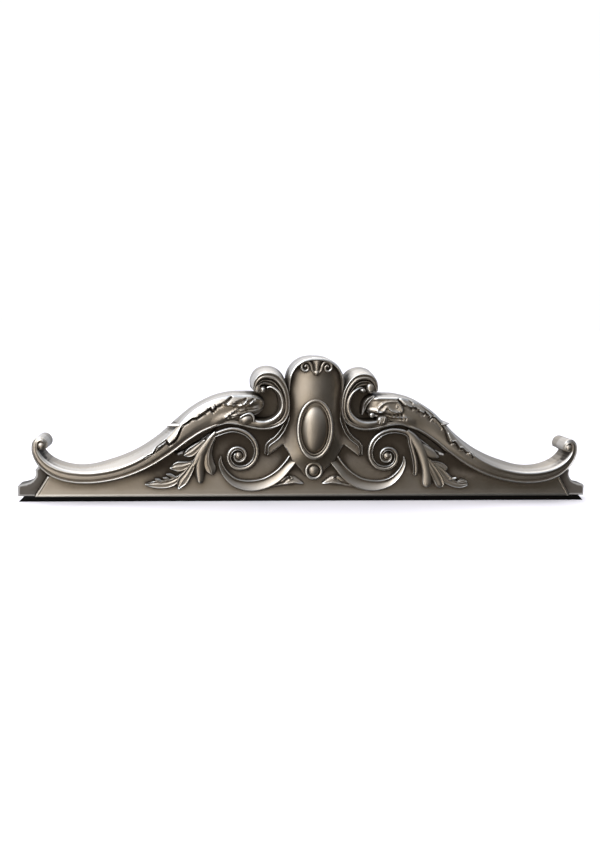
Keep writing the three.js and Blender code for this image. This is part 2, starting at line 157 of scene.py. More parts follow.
@dataclass(frozen=True)
class Curve:
    """A smooth curve through drawn points: spans of a centripetal Catmull-Rom spline."""

    points: Points
    closed: bool = False

    def at(self, t: Array) -> Array:
        """The curve's points.

        Each span is a cubic whose slopes weigh the steps beside it by the square roots of their lengths.

        Args:
            t: Shares of the way, counted in spans, 0 to 1.

        Returns:
            An array of (x, z).
        """
        given = np.asarray(self.points, float)
        if self.closed:
            ring = np.vstack([given[-1:], given, given[:2]])
        else:
            ring = np.vstack([2 * given[0] - given[1], given, 2 * given[-1] - given[-2]])
        spans = len(ring) - 3
        place = np.clip(t, 0, 1) * spans
        span = np.minimum(place.astype(int), spans - 1)
        u = (place - span)[:, None]
        a, b, c, d = (ring[span + k] for k in range(4))
        e, f, g = (np.sqrt(np.linalg.norm(q - p, axis=1))[:, None] for p, q in ((a, b), (b, c), (c, d)))
        rise = ((b - a) / e - (c - a) / (e + f) + (c - b) / f) * f
        fall = ((c - b) / f - (d - b) / (f + g) + (d - c) / g) * f
        return cubic(b, c, rise, fall, u)

    def tangent(self, t: Array) -> Array:
        """Directions along the curve, from points a little before and after."""
        return unit(self.at(t + 1e-4) - self.at(t - 1e-4))

    def places(self, runs: Callable[[float], Array]) -> tuple[Array, Array]:
        """Shares at chosen lengths along the curve.

        Args:
            runs: A function of the curve's length that gives the lengths at which it is wanted.

        Returns:
            The shares, and those lengths.
        """
        fine = np.linspace(0, 1, 3001)
        steps = np.linalg.norm(np.diff(self.at(fine), axis=0), axis=1)
        run = np.concatenate([[0.0], np.cumsum(steps)])
        wanted = runs(run[-1])
        return np.interp(wanted, run, fine), wanted


def distance_to_line(xz: Array, line: Points) -> tuple[Array, Array]:
    """Distance from points to a broken line: the least over its segments.

    Args:
        xz: The points.
        line: The line's corners.

    Returns:
        The distances, and the share of the line's length at the nearest place.
    """
    corners = np.asarray(line, float)
    start, step = corners[:-1], np.diff(corners, axis=0)
    length = np.linalg.norm(step, axis=1)
    share = np.einsum("nmk,mk->nm", xz[:, None] - start, step) / length**2
    share = np.clip(share, 0, 1)
    gap = np.linalg.norm(xz[:, None] - (start + share[..., None] * step), axis=2)
    nearest = gap.argmin(1)
    row = np.arange(len(xz))
    run = np.concatenate([[0.0], np.cumsum(length)])
    return gap[row, nearest], (run[nearest] + share[row, nearest] * length[nearest]) / run[-1]


def inside(xz: Array, outline: Points) -> Array:
    """Whether points lie in a closed outline: a line drawn from each crosses it an odd number of times.

    Args:
        xz: The points.
        outline: The outline's corners.

    Returns:
        True for each point inside.
    """
    a = np.asarray(outline, float)
    b = np.roll(a, -1, axis=0)
    level = (a[:, 1] > xz[:, 1:2]) != (b[:, 1] > xz[:, 1:2])
    rise = np.where(a[:, 1] == b[:, 1], 1.0, b[:, 1] - a[:, 1])
    crossing = a[:, 0] + (xz[:, 1:2] - a[:, 1]) * (b[:, 0] - a[:, 0]) / rise
    return (level & (xz[:, :1] < crossing)).sum(1) % 2 == 1


@dataclass(frozen=True)
class Stroke:
    """A line raised on a face, or cut into it where rise is negative.

    Its section is a bell, rise * exp(-(distance / half width)^2), whose half width changes along the line.
    """

    line: Points
    half: Sequence[float]
    rise: float

    def height(self, xz: Array) -> Array:
        """Height of the stroke over a face.

        Args:
            xz: Points (x, z).

        Returns:
            The height at each, which fades where the stroke is narrow.
        """
        out = np.zeros(len(xz))
        corners = np.asarray(self.line, float)
        margin = 3 * max(self.half)
        near = np.all((xz > corners.min(0) - margin) & (xz < corners.max(0) + margin), axis=1)
        if near.any():
            gap, share = distance_to_line(xz[near], self.line)
            width = np.maximum(np.interp(share, np.linspace(0, 1, len(self.half)), self.half), 0.15)
            fade = np.minimum(1, width / max(self.half) * 1.6)
            out[near] = self.rise * fade * np.exp(-((gap / width) ** 2))
        return out


@dataclass(frozen=True)
class Patch:
    """An area inside a closed outline, with a soft edge inward from the outline."""

    outline: Points
    edge: float = 0.8

    def depth_in(self, xz: Array) -> Array:
        """Distance inward from the outline, negative outside it."""
        gap, _ = distance_to_line(xz, [*self.outline, self.outline[0]])
        return np.where(inside(xz, self.outline), gap, -gap)

    def mask(self, xz: Array) -> Array:
        """Smooth step from 0 outside the outline to 1 an edge's width inside it."""
        return smooth(-0.2 * self.edge, self.edge, self.depth_in(xz))


@dataclass(frozen=True)
class Carving:
    """What is carved on a face: an overlying leaf, raised lobes, and strokes cut or raised."""

    leaf: Patch | None = None
    lobes: tuple[tuple[Patch, float], ...] = ()
    strokes: tuple[Stroke, ...] = ()

    def height(self, xz: Array) -> Array:
        """Height of the lobes and the strokes over a face: a lobe swells at its edge and sinks within.

        Args:
            xz: Points (x, z).

        Returns:
            The height at each.
        """
        total = np.zeros(len(xz))
        for patch, rise in self.lobes:
            inward = patch.depth_in(xz)
            swollen = smooth(-0.2, patch.edge, inward)
            sunk = smooth(patch.edge, 4 * patch.edge, inward)
            total += rise * (swollen - 0.45 * sunk)
        for stroke in self.strokes:
            total += stroke.height(xz)
        return total


@dataclass(frozen=True)
class Section:
    """The front of a band: a smooth line through marks of (anchor, offset, rise).

    A mark lies at anchor * reach + offset across the band, where reach is its half width, and stands rise
    forward of its front. Where the band is narrower than full, offsets and rises shrink with it.
    """

    marks: tuple[tuple[float, float, float], ...]
    full: float = 3.0
    fine: int = 4

    def trace(self, reach: Array) -> tuple[Array, Array]:
        """Across and rise of each sample, for every station.

        Args:
            reach: Half width at each station.

        Returns:
            Two arrays of stations by samples, in millimetres.
        """
        marks = np.asarray(self.marks, float)
        t = np.linspace(0, 1, (len(marks) - 1) * self.fine + 1)
        weights = spline(np.eye(len(marks)), t)
        size = np.clip(reach / self.full, 0, 1)[:, None]
        across = marks[:, 0] * reach[:, None] + marks[:, 1] * size
        return across @ weights.T, (marks[:, 2] * size) @ weights.T


@dataclass
class Shell:
    """A closed surface on a grid: closed rings of points (x, depth, z), with its ends capped or looped."""

    rings: Array
    looped: bool = False

    def mirrored(self, side: Side) -> Shell:
        """The surface on one side of the casting.

        Args:
            side: The side.

        Returns:
            The surface, with its x turned round for the left.
        """
        rings = self.rings.copy()
        rings[..., 0] *= side.value
        return Shell(rings, self.looped)

    def faces(self) -> tuple[Array, list[Array]]:
        """Faces whose order faces them outward, as the sign of the enclosed volume says.

        Returns:
            Quads between the rings, and the caps' polygons.
        """
        count, size = self.rings.shape[:2]
        rows = np.arange(count if self.looped else count - 1)[:, None]
        columns = np.arange(size)
        turns = ((0, 0), (0, 1), (1, 1), (1, 0))
        corner = [(rows + i) % count * size + (columns + j) % size for i, j in turns]
        quads = np.stack([c.ravel() for c in corner], axis=1)
        caps = [] if self.looped else [columns[::-1].copy(), (count - 1) * size + columns]
        points = self.rings.reshape(-1, 3)
        a, b, c, d = (points[quads[:, k]] for k in range(4))
        volume = (np.cross(b, c) * a).sum() + (np.cross(c, d) * a).sum()
        for cap in caps:
            fan = points[cap]
            volume += (np.cross(fan[1:-1], fan[2:]) * fan[0]).sum()
        # The grid's (x, depth, z) is a left-handed frame, because depth runs toward -Y
        if volume > 0:
            quads = quads[:, ::-1]
            caps = [cap[::-1] for cap in caps]
        return quads, caps


@dataclass(frozen=True)
class Band:
    """A band of varying width run along a curve, standing forward from its heel.

    A point at (s, w) lies at curve(s) + across(s, w) * normal(s), and stands depth - drop(s) + rise(s, w)
    forward of the back. Its sides run back from the front's edges and spread on the way, by spread times a
    power of the share of the depth that is left behind.
    """

    path: Points
    half: Sequence[float]
    depth: float
    section: Section
    drop: Sequence[float] = (0.0, 0.0)
    spread: Sequence[float] = (0.0, 0.0)
    outer_spread: Sequence[float] | None = None
    closed: bool = False
    heel: float = EMBEDDED
    step: float = 0.8
    noses: tuple[float, float] = (0.0, 0.0)
    nose_drop: float = 3.0
    wall: Sequence[float] = (0.1, 0.25, 0.45, 0.7, 1.0)
    ledge: float = 0.0
    swell: float = 0.65
    thinnest: float = 0.12

    def runs(self, length: float) -> Array:
        """Places of the band's rings: even steps, and closer ones over a rounded end.

        Args:
            length: The curve's length.

        Returns:
            Lengths along it.
        """
        even = np.linspace(0, length, max(8, math.ceil(length / self.step)) + 1)
        if self.closed:
            return even[:-1]
        curl = 1 - np.cos(np.linspace(0, math.pi / 2, 9))
        start, end = self.noses
        body = even[(even > start * 1.02) & (even < length - end * 1.02)]
        first = curl * start if start else np.zeros(1)
        last = length - curl[::-1] * end if end else np.full(1, length)
        return np.concatenate([first, body[(body > first[-1] + 0.05) & (body < last[0] - 0.05)], last])

    def shell(self, carve: Callable[[Array, Array, Array], Array] | None = None) -> Shell:
        """The band's surface.

        Args:
            carve: Gives the front's rise anew from its points (x, z), places across (-1 to 1) and rise.

        Returns:
            The closed surface, on the side where x grows outward.
        """
        curve = Curve(self.path, self.closed)
        t, run = curve.places(self.runs)
        centre, along = curve.at(t), curve.tangent(t)
        normal = np.stack([along[:, 1], -along[:, 0]], axis=1)
        reach = np.maximum(spline(self.half, t), self.thinnest)
        front = self.depth - spline(self.drop, t)
        for nose, left in zip(self.noses, (run, run[-1] - run)):
            if nose:
                share = np.clip(left / nose, 0, 1)
                round_off = np.sqrt(np.clip(1 - (1 - share) ** 2, 0.0025, 1))
                reach = reach * round_off
                front = front - (1 - round_off) * self.nose_drop
        across, rise = self.section.trace(reach)
        xz = centre[:, None] + across[..., None] * normal[:, None]
        if carve is not None:
            flat = carve(xz.reshape(-1, 2), (across / reach[:, None]).ravel(), rise.ravel())
            rise = flat.reshape(rise.shape)
        face = np.dstack([xz[..., 0], front[:, None] + rise, xz[..., 1]])
        flare = spline(self.spread, t)
        outer = flare if self.outer_spread is None else spline(self.outer_spread, t)
        shares = np.asarray(self.wall)
        upper = self.side(face[:, -1], normal, outer, shares, self.ledge)
        lower = self.side(face[:, 0], -normal, flare, shares, 0.0)
        return Shell(np.concatenate([lower[:, ::-1], face, upper], axis=1), self.closed)

    def side(self, edge: Array, normal: Array, flare: Array, shares: Array, ledge: float) -> Array:
        """One side of the band, from the front's edge back to the heel.

        Args:
            edge: The front's edge, (x, depth, z) for each ring.
            normal: Outward direction in the plane of the back.
            flare: How much wider the band is at the back plane.
            shares: Places between the edge and the heel.
            ledge: Width of a small step halfway back.

        Returns:
            An array of rings by shares by (x, depth, z).
        """
        x, depth, z = (edge[:, None, k] for k in range(3))
        back = depth + (self.heel - depth) * shares
        out = flare[:, None] * ((depth - back) / np.maximum(depth, 1)) ** self.swell
        out = out - ledge * (1 - smooth(0.4, 0.5, shares)) * smooth(0.0, 0.1, shares)
        return np.dstack([x + out * normal[:, None, 0], back, z + out * normal[:, None, 1]])


@dataclass(frozen=True)
class Dome:
    """Half an ellipsoid on a short skirt.

    At height angle v it is cos(v)^power of its radii wide, and stands sin(v)^power of its height forward. A
    power under 1 makes it fuller.
    """

    centre: tuple[float, float]
    radii: tuple[float, float, float]
    crown: float
    turn: float = 0.0
    skirt: float = 4.0
    power: float = 1.0
    around: int = 40
    up: int = 14

    def shell(self) -> Shell:
        """The dome's surface.

        Returns:
            Rings from the skirt's foot to the crown.
        """
        angle = np.linspace(0, 2 * math.pi, self.around, endpoint=False)
        v = np.linspace(0, math.pi / 2 * 0.985, self.up)
        width = np.concatenate([[1.0], np.cos(v) ** self.power])
        lift = np.concatenate([[-self.skirt / self.radii[1]], np.sin(v) ** self.power])
        x = self.radii[0] * width[:, None] * np.cos(angle)
        z = self.radii[2] * width[:, None] * np.sin(angle)
        c, s = math.cos(self.turn), math.sin(self.turn)
        depth = self.crown - self.radii[1] + self.radii[1] * lift[:, None] + 0 * angle
        return Shell(np.dstack([self.centre[0] + c * x - s * z, depth, self.centre[1] + s * x + c * z]))


def spiral(
    centre: tuple[float, float], radius: float, shrink: float, start: float, turn: float, step: float
) -> list[tuple[float, float]]:
    """Points of a spiral that winds inward: radius * exp(-shrink * angle turned).

    Args:
        centre: Its middle.
        radius: First radius.
        shrink: Share of the radius lost for each radian.
        start: First angle in degrees.
        turn: Degrees turned in all.
        step: Degrees between points.

    Returns:
        A list of (x, z).
    """
    turned = np.radians(np.arange(round(turn / step) + 1) * step)
    r = radius * np.exp(-shrink * turned)
    angle = math.radians(start) + turned
    return list(zip(centre[0] + r * np.cos(angle), centre[1] + r * np.sin(angle)))


@dataclass
class Plate:
    """A plate: an outline carried forward from the heel, with a bevelled front edge and a fine face."""

    outline: Points
    face: float
    bevel: float = 1.2
    heel: float = 0.0
    pitch: float = 2.0
    relief: Callable[[Array], Array] | None = None

    def front(self, xz: Array) -> Array:
        """Depth of the front at points (x, z)."""
        return np.full(len(xz), self.face) if self.relief is None else self.relief(xz)

    def parts(self) -> tuple[Array, Array]:
        """The plate's surface.

        Returns:
            Points (x, depth, z), and triangles.
        """
        corners = np.asarray(self.outline, float)
        if np.cross(corners, np.roll(corners, -1, axis=0)).sum() < 0:
            corners = corners[::-1]
        step = np.roll(corners, -1, axis=0) - corners
        pieces = np.maximum(1, np.ceil(np.linalg.norm(step, axis=1) / self.pitch).astype(int))
        rim = np.vstack([c + s * np.arange(n)[:, None] / n for c, s, n in zip(corners, step, pieces)])
        before = unit(rim - np.roll(rim, 1, axis=0))
        after = unit(np.roll(rim, -1, axis=0) - rim)
        square = np.stack([-after[:, 1], after[:, 0]], axis=1)
        inward = unit(np.stack([-(before + after)[:, 1], (before + after)[:, 0]], axis=1))
        inward = inward / np.maximum(0.4, (inward * square).sum(1))[:, None]
        rings = [(0.0, 0.0, 0.0), (0.0, 0.5, -0.5), (0.0, 1.0, -1.0), (0.3, 1.0, -0.45), (0.95, 1.0, 0.0)]
        points = []
        for offset, forward, lower in rings:
            at = rim + offset * self.bevel * inward
            depth = self.heel + forward * (self.front(at) - self.heel) + lower * self.bevel
            points.append(np.column_stack([at[:, 0], depth, at[:, 1]]))
        count = len(rim)
        k = np.arange(count)
        n = (k + 1) % count
        strips = []
        for i in range(len(rings) - 1):
            a, b, c, d = i * count + k, i * count + n, (i + 1) * count + n, (i + 1) * count + k
            strips += [np.stack([a, b, c], 1), np.stack([a, c, d], 1)]
        top, faces = self.fill(rim + rings[-1][0] * self.bevel * inward, self.pitch)
        extra = np.column_stack([top[count:, 0], self.front(top[count:]), top[count:, 1]])
        base = (len(rings) - 1) * count
        strips.append(faces + base)
        low, low_faces = self.fill(rim, 0)
        strips.append(low_faces[:, ::-1])
        return np.vstack([*points, extra]), np.vstack(strips)

    @staticmethod
    def fill(rim: Array, pitch: float) -> tuple[Array, Array]:
        """Triangles over an outline.

        Args:
            rim: The outline, anticlockwise.
            pitch: Spacing of the points strewn inside, or 0 for none.

        Returns:
            The points, the outline's first, and the triangles.
        """
        points = rim
        if pitch:
            low, high = rim.min(0), rim.max(0)
            x, z = np.meshgrid(np.arange(low[0], high[0], pitch), np.arange(low[1], high[1], pitch))
            strewn = np.column_stack([x.ravel(), z.ravel()])
            strewn = strewn[inside(strewn, rim)]
            gap, _ = distance_to_line(strewn, np.vstack([rim, rim[:1]])[::3])
            points = np.vstack([rim, strewn[gap > 0.6 * pitch]])
        edges = [(i, (i + 1) % len(rim)) for i in range(len(rim))]
        made = delaunay_2d_cdt([Vector(p) for p in points], edges, [], 1, 1e-5)
        return np.array([tuple(p) for p in made[0]]), np.array(made[2])


@dataclass
class Build:
    """A piece in the making: its points in the drawing grid, its faces, and how far each point is painted
    dark as shadow.
    """

    name: str
    points: list[Array] = field(default_factory=list)
    polygons: list[Array] = field(default_factory=list)
    painted_shadow: list[Array] = field(default_factory=list)
    count: int = 0
    item: bpy.types.Object | None = None

    def add_shell(self, shell: Shell) -> None:
        """Takes in a closed surface.

        Args:
            shell: The surface.
        """
        quads, caps = shell.faces()
        self.polygons.append(quads + self.count)
        self.polygons += [cap[None] + self.count for cap in caps]
        self.take(shell.rings.reshape(-1, 3), 0.0)

    def add_shells(self, shells: Iterable[Shell], side: Side) -> None:
        """Takes in closed surfaces on one side of the casting.

        Args:
            shells: The surfaces, as drawn for the side where x grows outward.
            side: The side.
        """
        for shell in shells:
            self.add_shell(shell.mirrored(side))

    def add_plate(self, plate: Plate, painted_shadow: float = 0.0) -> None:
        """Takes in a plate, with its triangles turned to face outward.

        Args:
            plate: The plate.
            painted_shadow: How far it is painted dark as shadow, 0 to 1.
        """
        points, faces = plate.parts()
        a, b, c = (points[faces[:, k]] for k in range(3))
        # Depth runs toward -Y, so an outward triangle encloses negative volume here
        turned = faces if (np.cross(b, c) * a).sum() < 0 else faces[:, ::-1]
        self.polygons.append(turned + self.count)
        self.take(points, painted_shadow)

    def take(self, points: Array, painted_shadow: float) -> None:
        """Takes in points.

        Args:
            points: Points (x, depth, z).
            painted_shadow: How far they are all painted dark as shadow, 0 to 1.
        """
        self.points.append(points)
        self.painted_shadow.append(np.full(len(points), painted_shadow))
        self.count += len(points)


@dataclass(frozen=True)
class Board:
    """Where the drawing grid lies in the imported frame."""

    low: Vector
    high: Vector

    @property
    def units(self) -> tuple[float, float, float]:
        """Metres for one unit across, forward and up."""
        size = self.high - self.low
        return size.x / GRID_SPAN, size.y / FULL_DEPTH, size.z / GRID_HEIGHT

    def place(self, points: Array) -> Array:
        """Grid points in the frame: middle + x * unit, back - depth * unit, floor + z * unit.

        Args:
            points: Points (x, depth, z).

        Returns:
            Points (X, Y, Z) in metres.
        """
        ux, uy, uz = self.units
        middle = (self.low.x + self.high.x) / 2
        return np.column_stack(
            [middle + points[:, 0] * ux, self.high.y - points[:, 1] * uy, self.low.z + points[:, 2] * uz]
        )

    def make(self, build: Build) -> bpy.types.Object:
        """Makes the piece's mesh object, at the origin, with its place in its mesh.

        Args:
            build: What the piece is made of.

        Returns:
            The object, linked to the scene.
        """
        points = self.place(np.vstack(build.points))
        mesh = bpy.data.meshes.new(build.name)
        sizes = np.concatenate([np.full(len(p), p.shape[1]) for p in build.polygons])
        corners = np.concatenate([p.ravel() for p in build.polygons])
        mesh.vertices.add(len(points))
        mesh.vertices.foreach_set("co", points.astype(np.float32).ravel())
        mesh.loops.add(len(corners))
        mesh.loops.foreach_set("vertex_index", corners.astype(np.int32))
        mesh.polygons.add(len(sizes))
        mesh.polygons.foreach_set("loop_start", (np.cumsum(sizes) - sizes).astype(np.int32))
        mesh.polygons.foreach_set("use_smooth", np.ones(len(sizes), bool))
        mesh.update(calc_edges=True)
        mesh.validate()
        mesh.set_sharp_from_angle(angle=SHARP_EDGE)
        build.item = bpy.data.objects.new(build.name, mesh)
        bpy.context.scene.collection.objects.link(build.item)
        return build.item


class Form:
    """A sub-assembly of the casting: it builds its piece from its own sizes, and dresses it."""

    def build(self) -> Build:
        """The piece, which each sub-assembly works out for itself."""
        raise NotImplementedError

    def dress(self, build: Build, metal: bpy.types.Material) -> None:
        """Gives the piece its finish, and its place in the frame.

        Args:
            build: The piece, made a mesh.
            metal: The casting's finish.
        """
        build.item.data.materials.append(metal)
        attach(build.item, BODY)
        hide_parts(NODE)


@dataclass
class FrontMap:
    """The casting's front as a map of heights, which says how open and how proud each point is.

    Lengths are in grid units. A point is compared with the map smoothed by a near, a wide and a broad bell.
    Horizons cut rays softly up to the height steep, in radians, and points painted as shadow past
    shadow_cutoff aren't mapped.
    """

    pitch: float = 0.5
    margin: float = 12.0
    near: float = 1.3
    wide: float = 4.0
    broad: float = 15.0
    directions: int = 16
    reaches: tuple[float, ...] = (0.8, 1.4, 2.3, 3.6, 5.5, 8.5, 12.5, 17.0)
    ray_heights: tuple[float, ...] = (8, 25, 45, 65, 82)
    steep: float = 1.0
    sunk_shade: float = 0.6
    pocket_reach: float = 12.0
    pocket_open: float = 0.56
    # Points painted as shadow at least this much, the black sole, are left out of the map
    shadow_cutoff: float = 0.9
    heights: Array | None = None

    def gather(self, builds: Sequence[Build]) -> None:
        """Takes the greatest depth over each cell, and fills the cells that the pieces' points miss.

        Args:
            builds: The pieces, whose corners, faces' middles and edges' middles are taken.
        """
        wide = round((GRID_SPAN + 2 * self.margin) / self.pitch)
        high = round((GRID_HEIGHT + 2 * self.margin) / self.pitch)
        flat = np.zeros(high * wide)
        for build in builds:
            mesh = build.item.data
            mesh.calc_loop_triangles()
            corners = np.empty(3 * len(mesh.loop_triangles), np.int32)
            mesh.loop_triangles.foreach_get("vertices", corners)
            corners = corners.reshape(-1, 3)
            corners = corners[np.concatenate(build.painted_shadow)[corners[:, 0]] < self.shadow_cutoff]
            points = np.vstack(build.points)[corners]
            middles = (points + np.roll(points, 1, axis=1)) / 2
            samples = np.vstack([points.reshape(-1, 3), middles.reshape(-1, 3), points.mean(axis=1)])
            column, row = self.cells(samples)
            np.maximum.at(flat, row * wide + column, samples[:, 1])
        self.heights = flat.reshape(high, wide)
        beside = [(i, j) for i in (-1, 0, 1) for j in (-1, 0, 1) if i or j]
        for _ in range(2):
            around = [np.roll(self.heights, shift, (0, 1)) for shift in beside]
            most = np.sort(np.stack(around), axis=0)[3]
            self.heights = np.where(self.heights < most - 1.5, most, self.heights)

    def cells(self, points: Array) -> tuple[Array, Array]:
        """Cells of points.

        Args:
            points: Points (x, depth, z).

        Returns:
            Column and row of each point's cell.
        """
        column = ((points[:, 0] + GRID_SPAN / 2 + self.margin) / self.pitch).astype(int)
        row = ((points[:, 2] + self.margin) / self.pitch).astype(int)
        limit = (GRID_HEIGHT + 2 * self.margin, GRID_SPAN + 2 * self.margin)
        return (
            np.clip(column, 0, round(limit[1] / self.pitch) - 1),
            np.clip(row, 0, round(limit[0] / self.pitch) - 1),
        )

    def add_plate(self, outline: Points, face: float) -> None:
        """Raises the map to a plate's face inside its outline.

        Args:
            outline: The plate's outline.
            face: Depth of its face.
        """
        rows, columns = np.indices(self.heights.shape)
        xz = np.column_stack([columns.ravel(), rows.ravel()]) * self.pitch + 0.5 * self.pitch
        xz -= (GRID_SPAN / 2 + self.margin, self.margin)
        within = inside(xz, outline).reshape(self.heights.shape)
        self.heights = np.where(within, np.maximum(self.heights, face), self.heights)

    def blurred(self, spread: float) -> Array:
        """The map smoothed by a bell, as a product of waves.

        Args:
            spread: The bell's spread.

        Returns:
            The smoothed map.
        """
        shape = self.heights.shape
        waves = [np.fft.fftfreq(shape[0]) * 2 * math.pi, np.fft.rfftfreq(shape[1]) * 2 * math.pi]
        fall = np.exp(-0.5 * (spread / self.pitch) ** 2 * (waves[0][:, None] ** 2 + waves[1] ** 2))
        return np.fft.irfft2(np.fft.rfft2(self.heights) * fall, s=shape)

    def openness(self, points: Array, normals: Array) -> Array:
        """Share of the light from in front that reaches a point past what stands round it.

        In each direction the horizon is the steepest slope up to the map at a few distances. Rays over the
        front are weighed by the cosine to the normal, and the share above the horizon is the openness.

        Args:
            points: Points (x, depth, z).
            normals: Their outward directions, in the same axes.

        Returns:
            Values from 0, shut in, to 1, open.
        """
        seen, total = np.zeros(len(points)), np.full(len(points), 1e-6)
        for azimuth in np.arange(self.directions) * 2 * math.pi / self.directions:
            heading = np.array([math.cos(azimuth), 0.0, math.sin(azimuth)])
            horizon = np.full(len(points), -1.0)
            for reach in self.reaches:
                column, row = self.cells(points + heading * reach)
                horizon = np.maximum(horizon, (self.heights[row, column] - points[:, 1] - 0.15) / reach)
            for height in np.radians(self.ray_heights):
                ray = heading * math.cos(height) + np.array([0.0, math.sin(height), 0.0])
                weight = np.maximum(normals @ ray, 0) * math.cos(height)
                above = math.tan(height) - horizon
                clear = smooth(-0.25, 0.25, above) if height < self.steep else above > 0
                seen += weight * clear
                total += weight
        return seen / total

    def dress(self, builds: Sequence[Build]) -> None:
        """Writes each point's openness, prominence and painted shadow into its piece's mesh.

        A point lower than the broad map is taken as less open, so that painted shade darkens it with the
        patina, and one on the pockets' ground is at least pocket_open.

        Args:
            builds: The pieces.
        """
        near, wide, broad = (self.blurred(spread) for spread in (self.near, self.wide, self.broad))
        for build in builds:
            points = np.vstack(build.points)
            mesh = build.item.data
            normals = np.empty(len(points) * 3, np.float32)
            mesh.vertices.foreach_get("normal", normals)
            normals = normals.reshape(-1, 3) * (1, -1, 1)
            column, row = self.cells(points)
            depth = points[:, 1]
            # Painted shade: a point sunk below the broad map, such as the panel between the forms, counts as
            # less open, so its patina darkens where shadow falls
            sunk = smooth(-0.5, 4.5, broad[row, column] - depth) * smooth(12, 18, depth)
            opened = self.openness(points, normals) - self.sunk_shade * sunk
            toward_front = np.clip(normals[:, 1] + 0.2, 0, 1)
            values = {
                "open": np.maximum(opened, self.pocket_open * (depth < self.pocket_reach)),
                "proud": smooth(0.05, 0.9, depth - near[row, column]) * toward_front,
                "high": np.clip((depth - wide[row, column]) / 12 + 0.5, 0, 1),
                "painted_shadow": np.concatenate(build.painted_shadow),
            }
            for name, value in values.items():
                layer = mesh.attributes.new(name, "FLOAT", "POINT")
                layer.data.foreach_set("value", value.astype(np.float32))


class Wire:
    """A value in a material's graph, on which plus, minus and times add Math nodes."""

    def __init__(self, graph: Graph, socket: bpy.types.NodeSocket) -> None:
        """Wraps a node's output socket."""
        self.graph, self.socket = graph, socket

    def math(self, operation: str, *others: Wire | float) -> Wire:
        """The result of a Math node on this value and others."""
        return self.graph.add("ShaderNodeMath", {"operation": operation}, dict(enumerate((self, *others))))

    def __add__(self, other: Wire | float) -> Wire:
        """This plus other."""
        return self.math("ADD", other)

    def __sub__(self, other: Wire | float) -> Wire:
        """This less other."""
        return self.math("SUBTRACT", other)

    def __mul__(self, other: Wire | float) -> Wire:
        """This times other."""
        return self.math("MULTIPLY", other)

    def __rsub__(self, other: float) -> Wire:
        """Other less this."""
        return self.graph.add("ShaderNodeMath", {"operation": "SUBTRACT"}, {0: other, 1: self})

    __radd__ = __add__
    __rmul__ = __mul__

    def step(self, low: float, high: float, to_low: float = 0.0, to_high: float = 1.0) -> Wire:
        """Smooth step of the value from to_low below low to to_high above high."""
        inputs = {0: self, 1: low, 2: high, 3: to_low, 4: to_high}
        return self.graph.add("ShaderNodeMapRange", {"interpolation_type": "SMOOTHSTEP"}, inputs)


class Graph:
    """A node tree that is built by calls."""

    # How far the feet are darkened: partly patina, partly painted shade
    def __init__(self, tree: bpy.types.NodeTree) -> None:
        """Empties the tree."""
        self.tree = tree
        tree.nodes.clear()

    def add(
        self, kind: str, settings: dict | None = None, inputs: dict | None = None, output: str | int = 0
    ) -> Wire:
        """Adds a node.

        Args:
            kind: The node's type.
            settings: Its properties, set before its inputs.
            inputs: Values or wires for its input sockets, by name or index.
            output: Which output socket to give back.

        Returns:
            The output as a wire.
        """
        node = self.tree.nodes.new(kind)
        for name, value in (settings or {}).items():
            setattr(node, name, value)
        for name, value in (inputs or {}).items():
            if isinstance(value, Wire):
                self.tree.links.new(value.socket, node.inputs[name])
            else:
                node.inputs[name].default_value = value
        return Wire(self, node.outputs[output] if node.outputs else node.inputs[0])

    def attribute(self, name: str) -> Wire:
        """A point attribute of the mesh."""
        return self.add("ShaderNodeAttribute", {"attribute_name": name}, output="Fac")

    def blend(self, share: Wire, first: Wire | tuple, second: Wire | tuple) -> Wire:
        """Colour mixed from first to second by share: RGBA mix sockets are numbers 6 and 7."""
        return self.add("ShaderNodeMix", {"data_type": "RGBA"}, {0: share, 6: first, 7: second}, output=2)

    def noise(self, place: Wire, scale: float, detail: float = 4.0, roughness: float = 0.55) -> Wire:
        """Cloudy noise from 0 to 1."""
        inputs = {"Vector": place, "Scale": scale, "Detail": detail, "Roughness": roughness}
        return self.add("ShaderNodeTexNoise", {}, inputs)


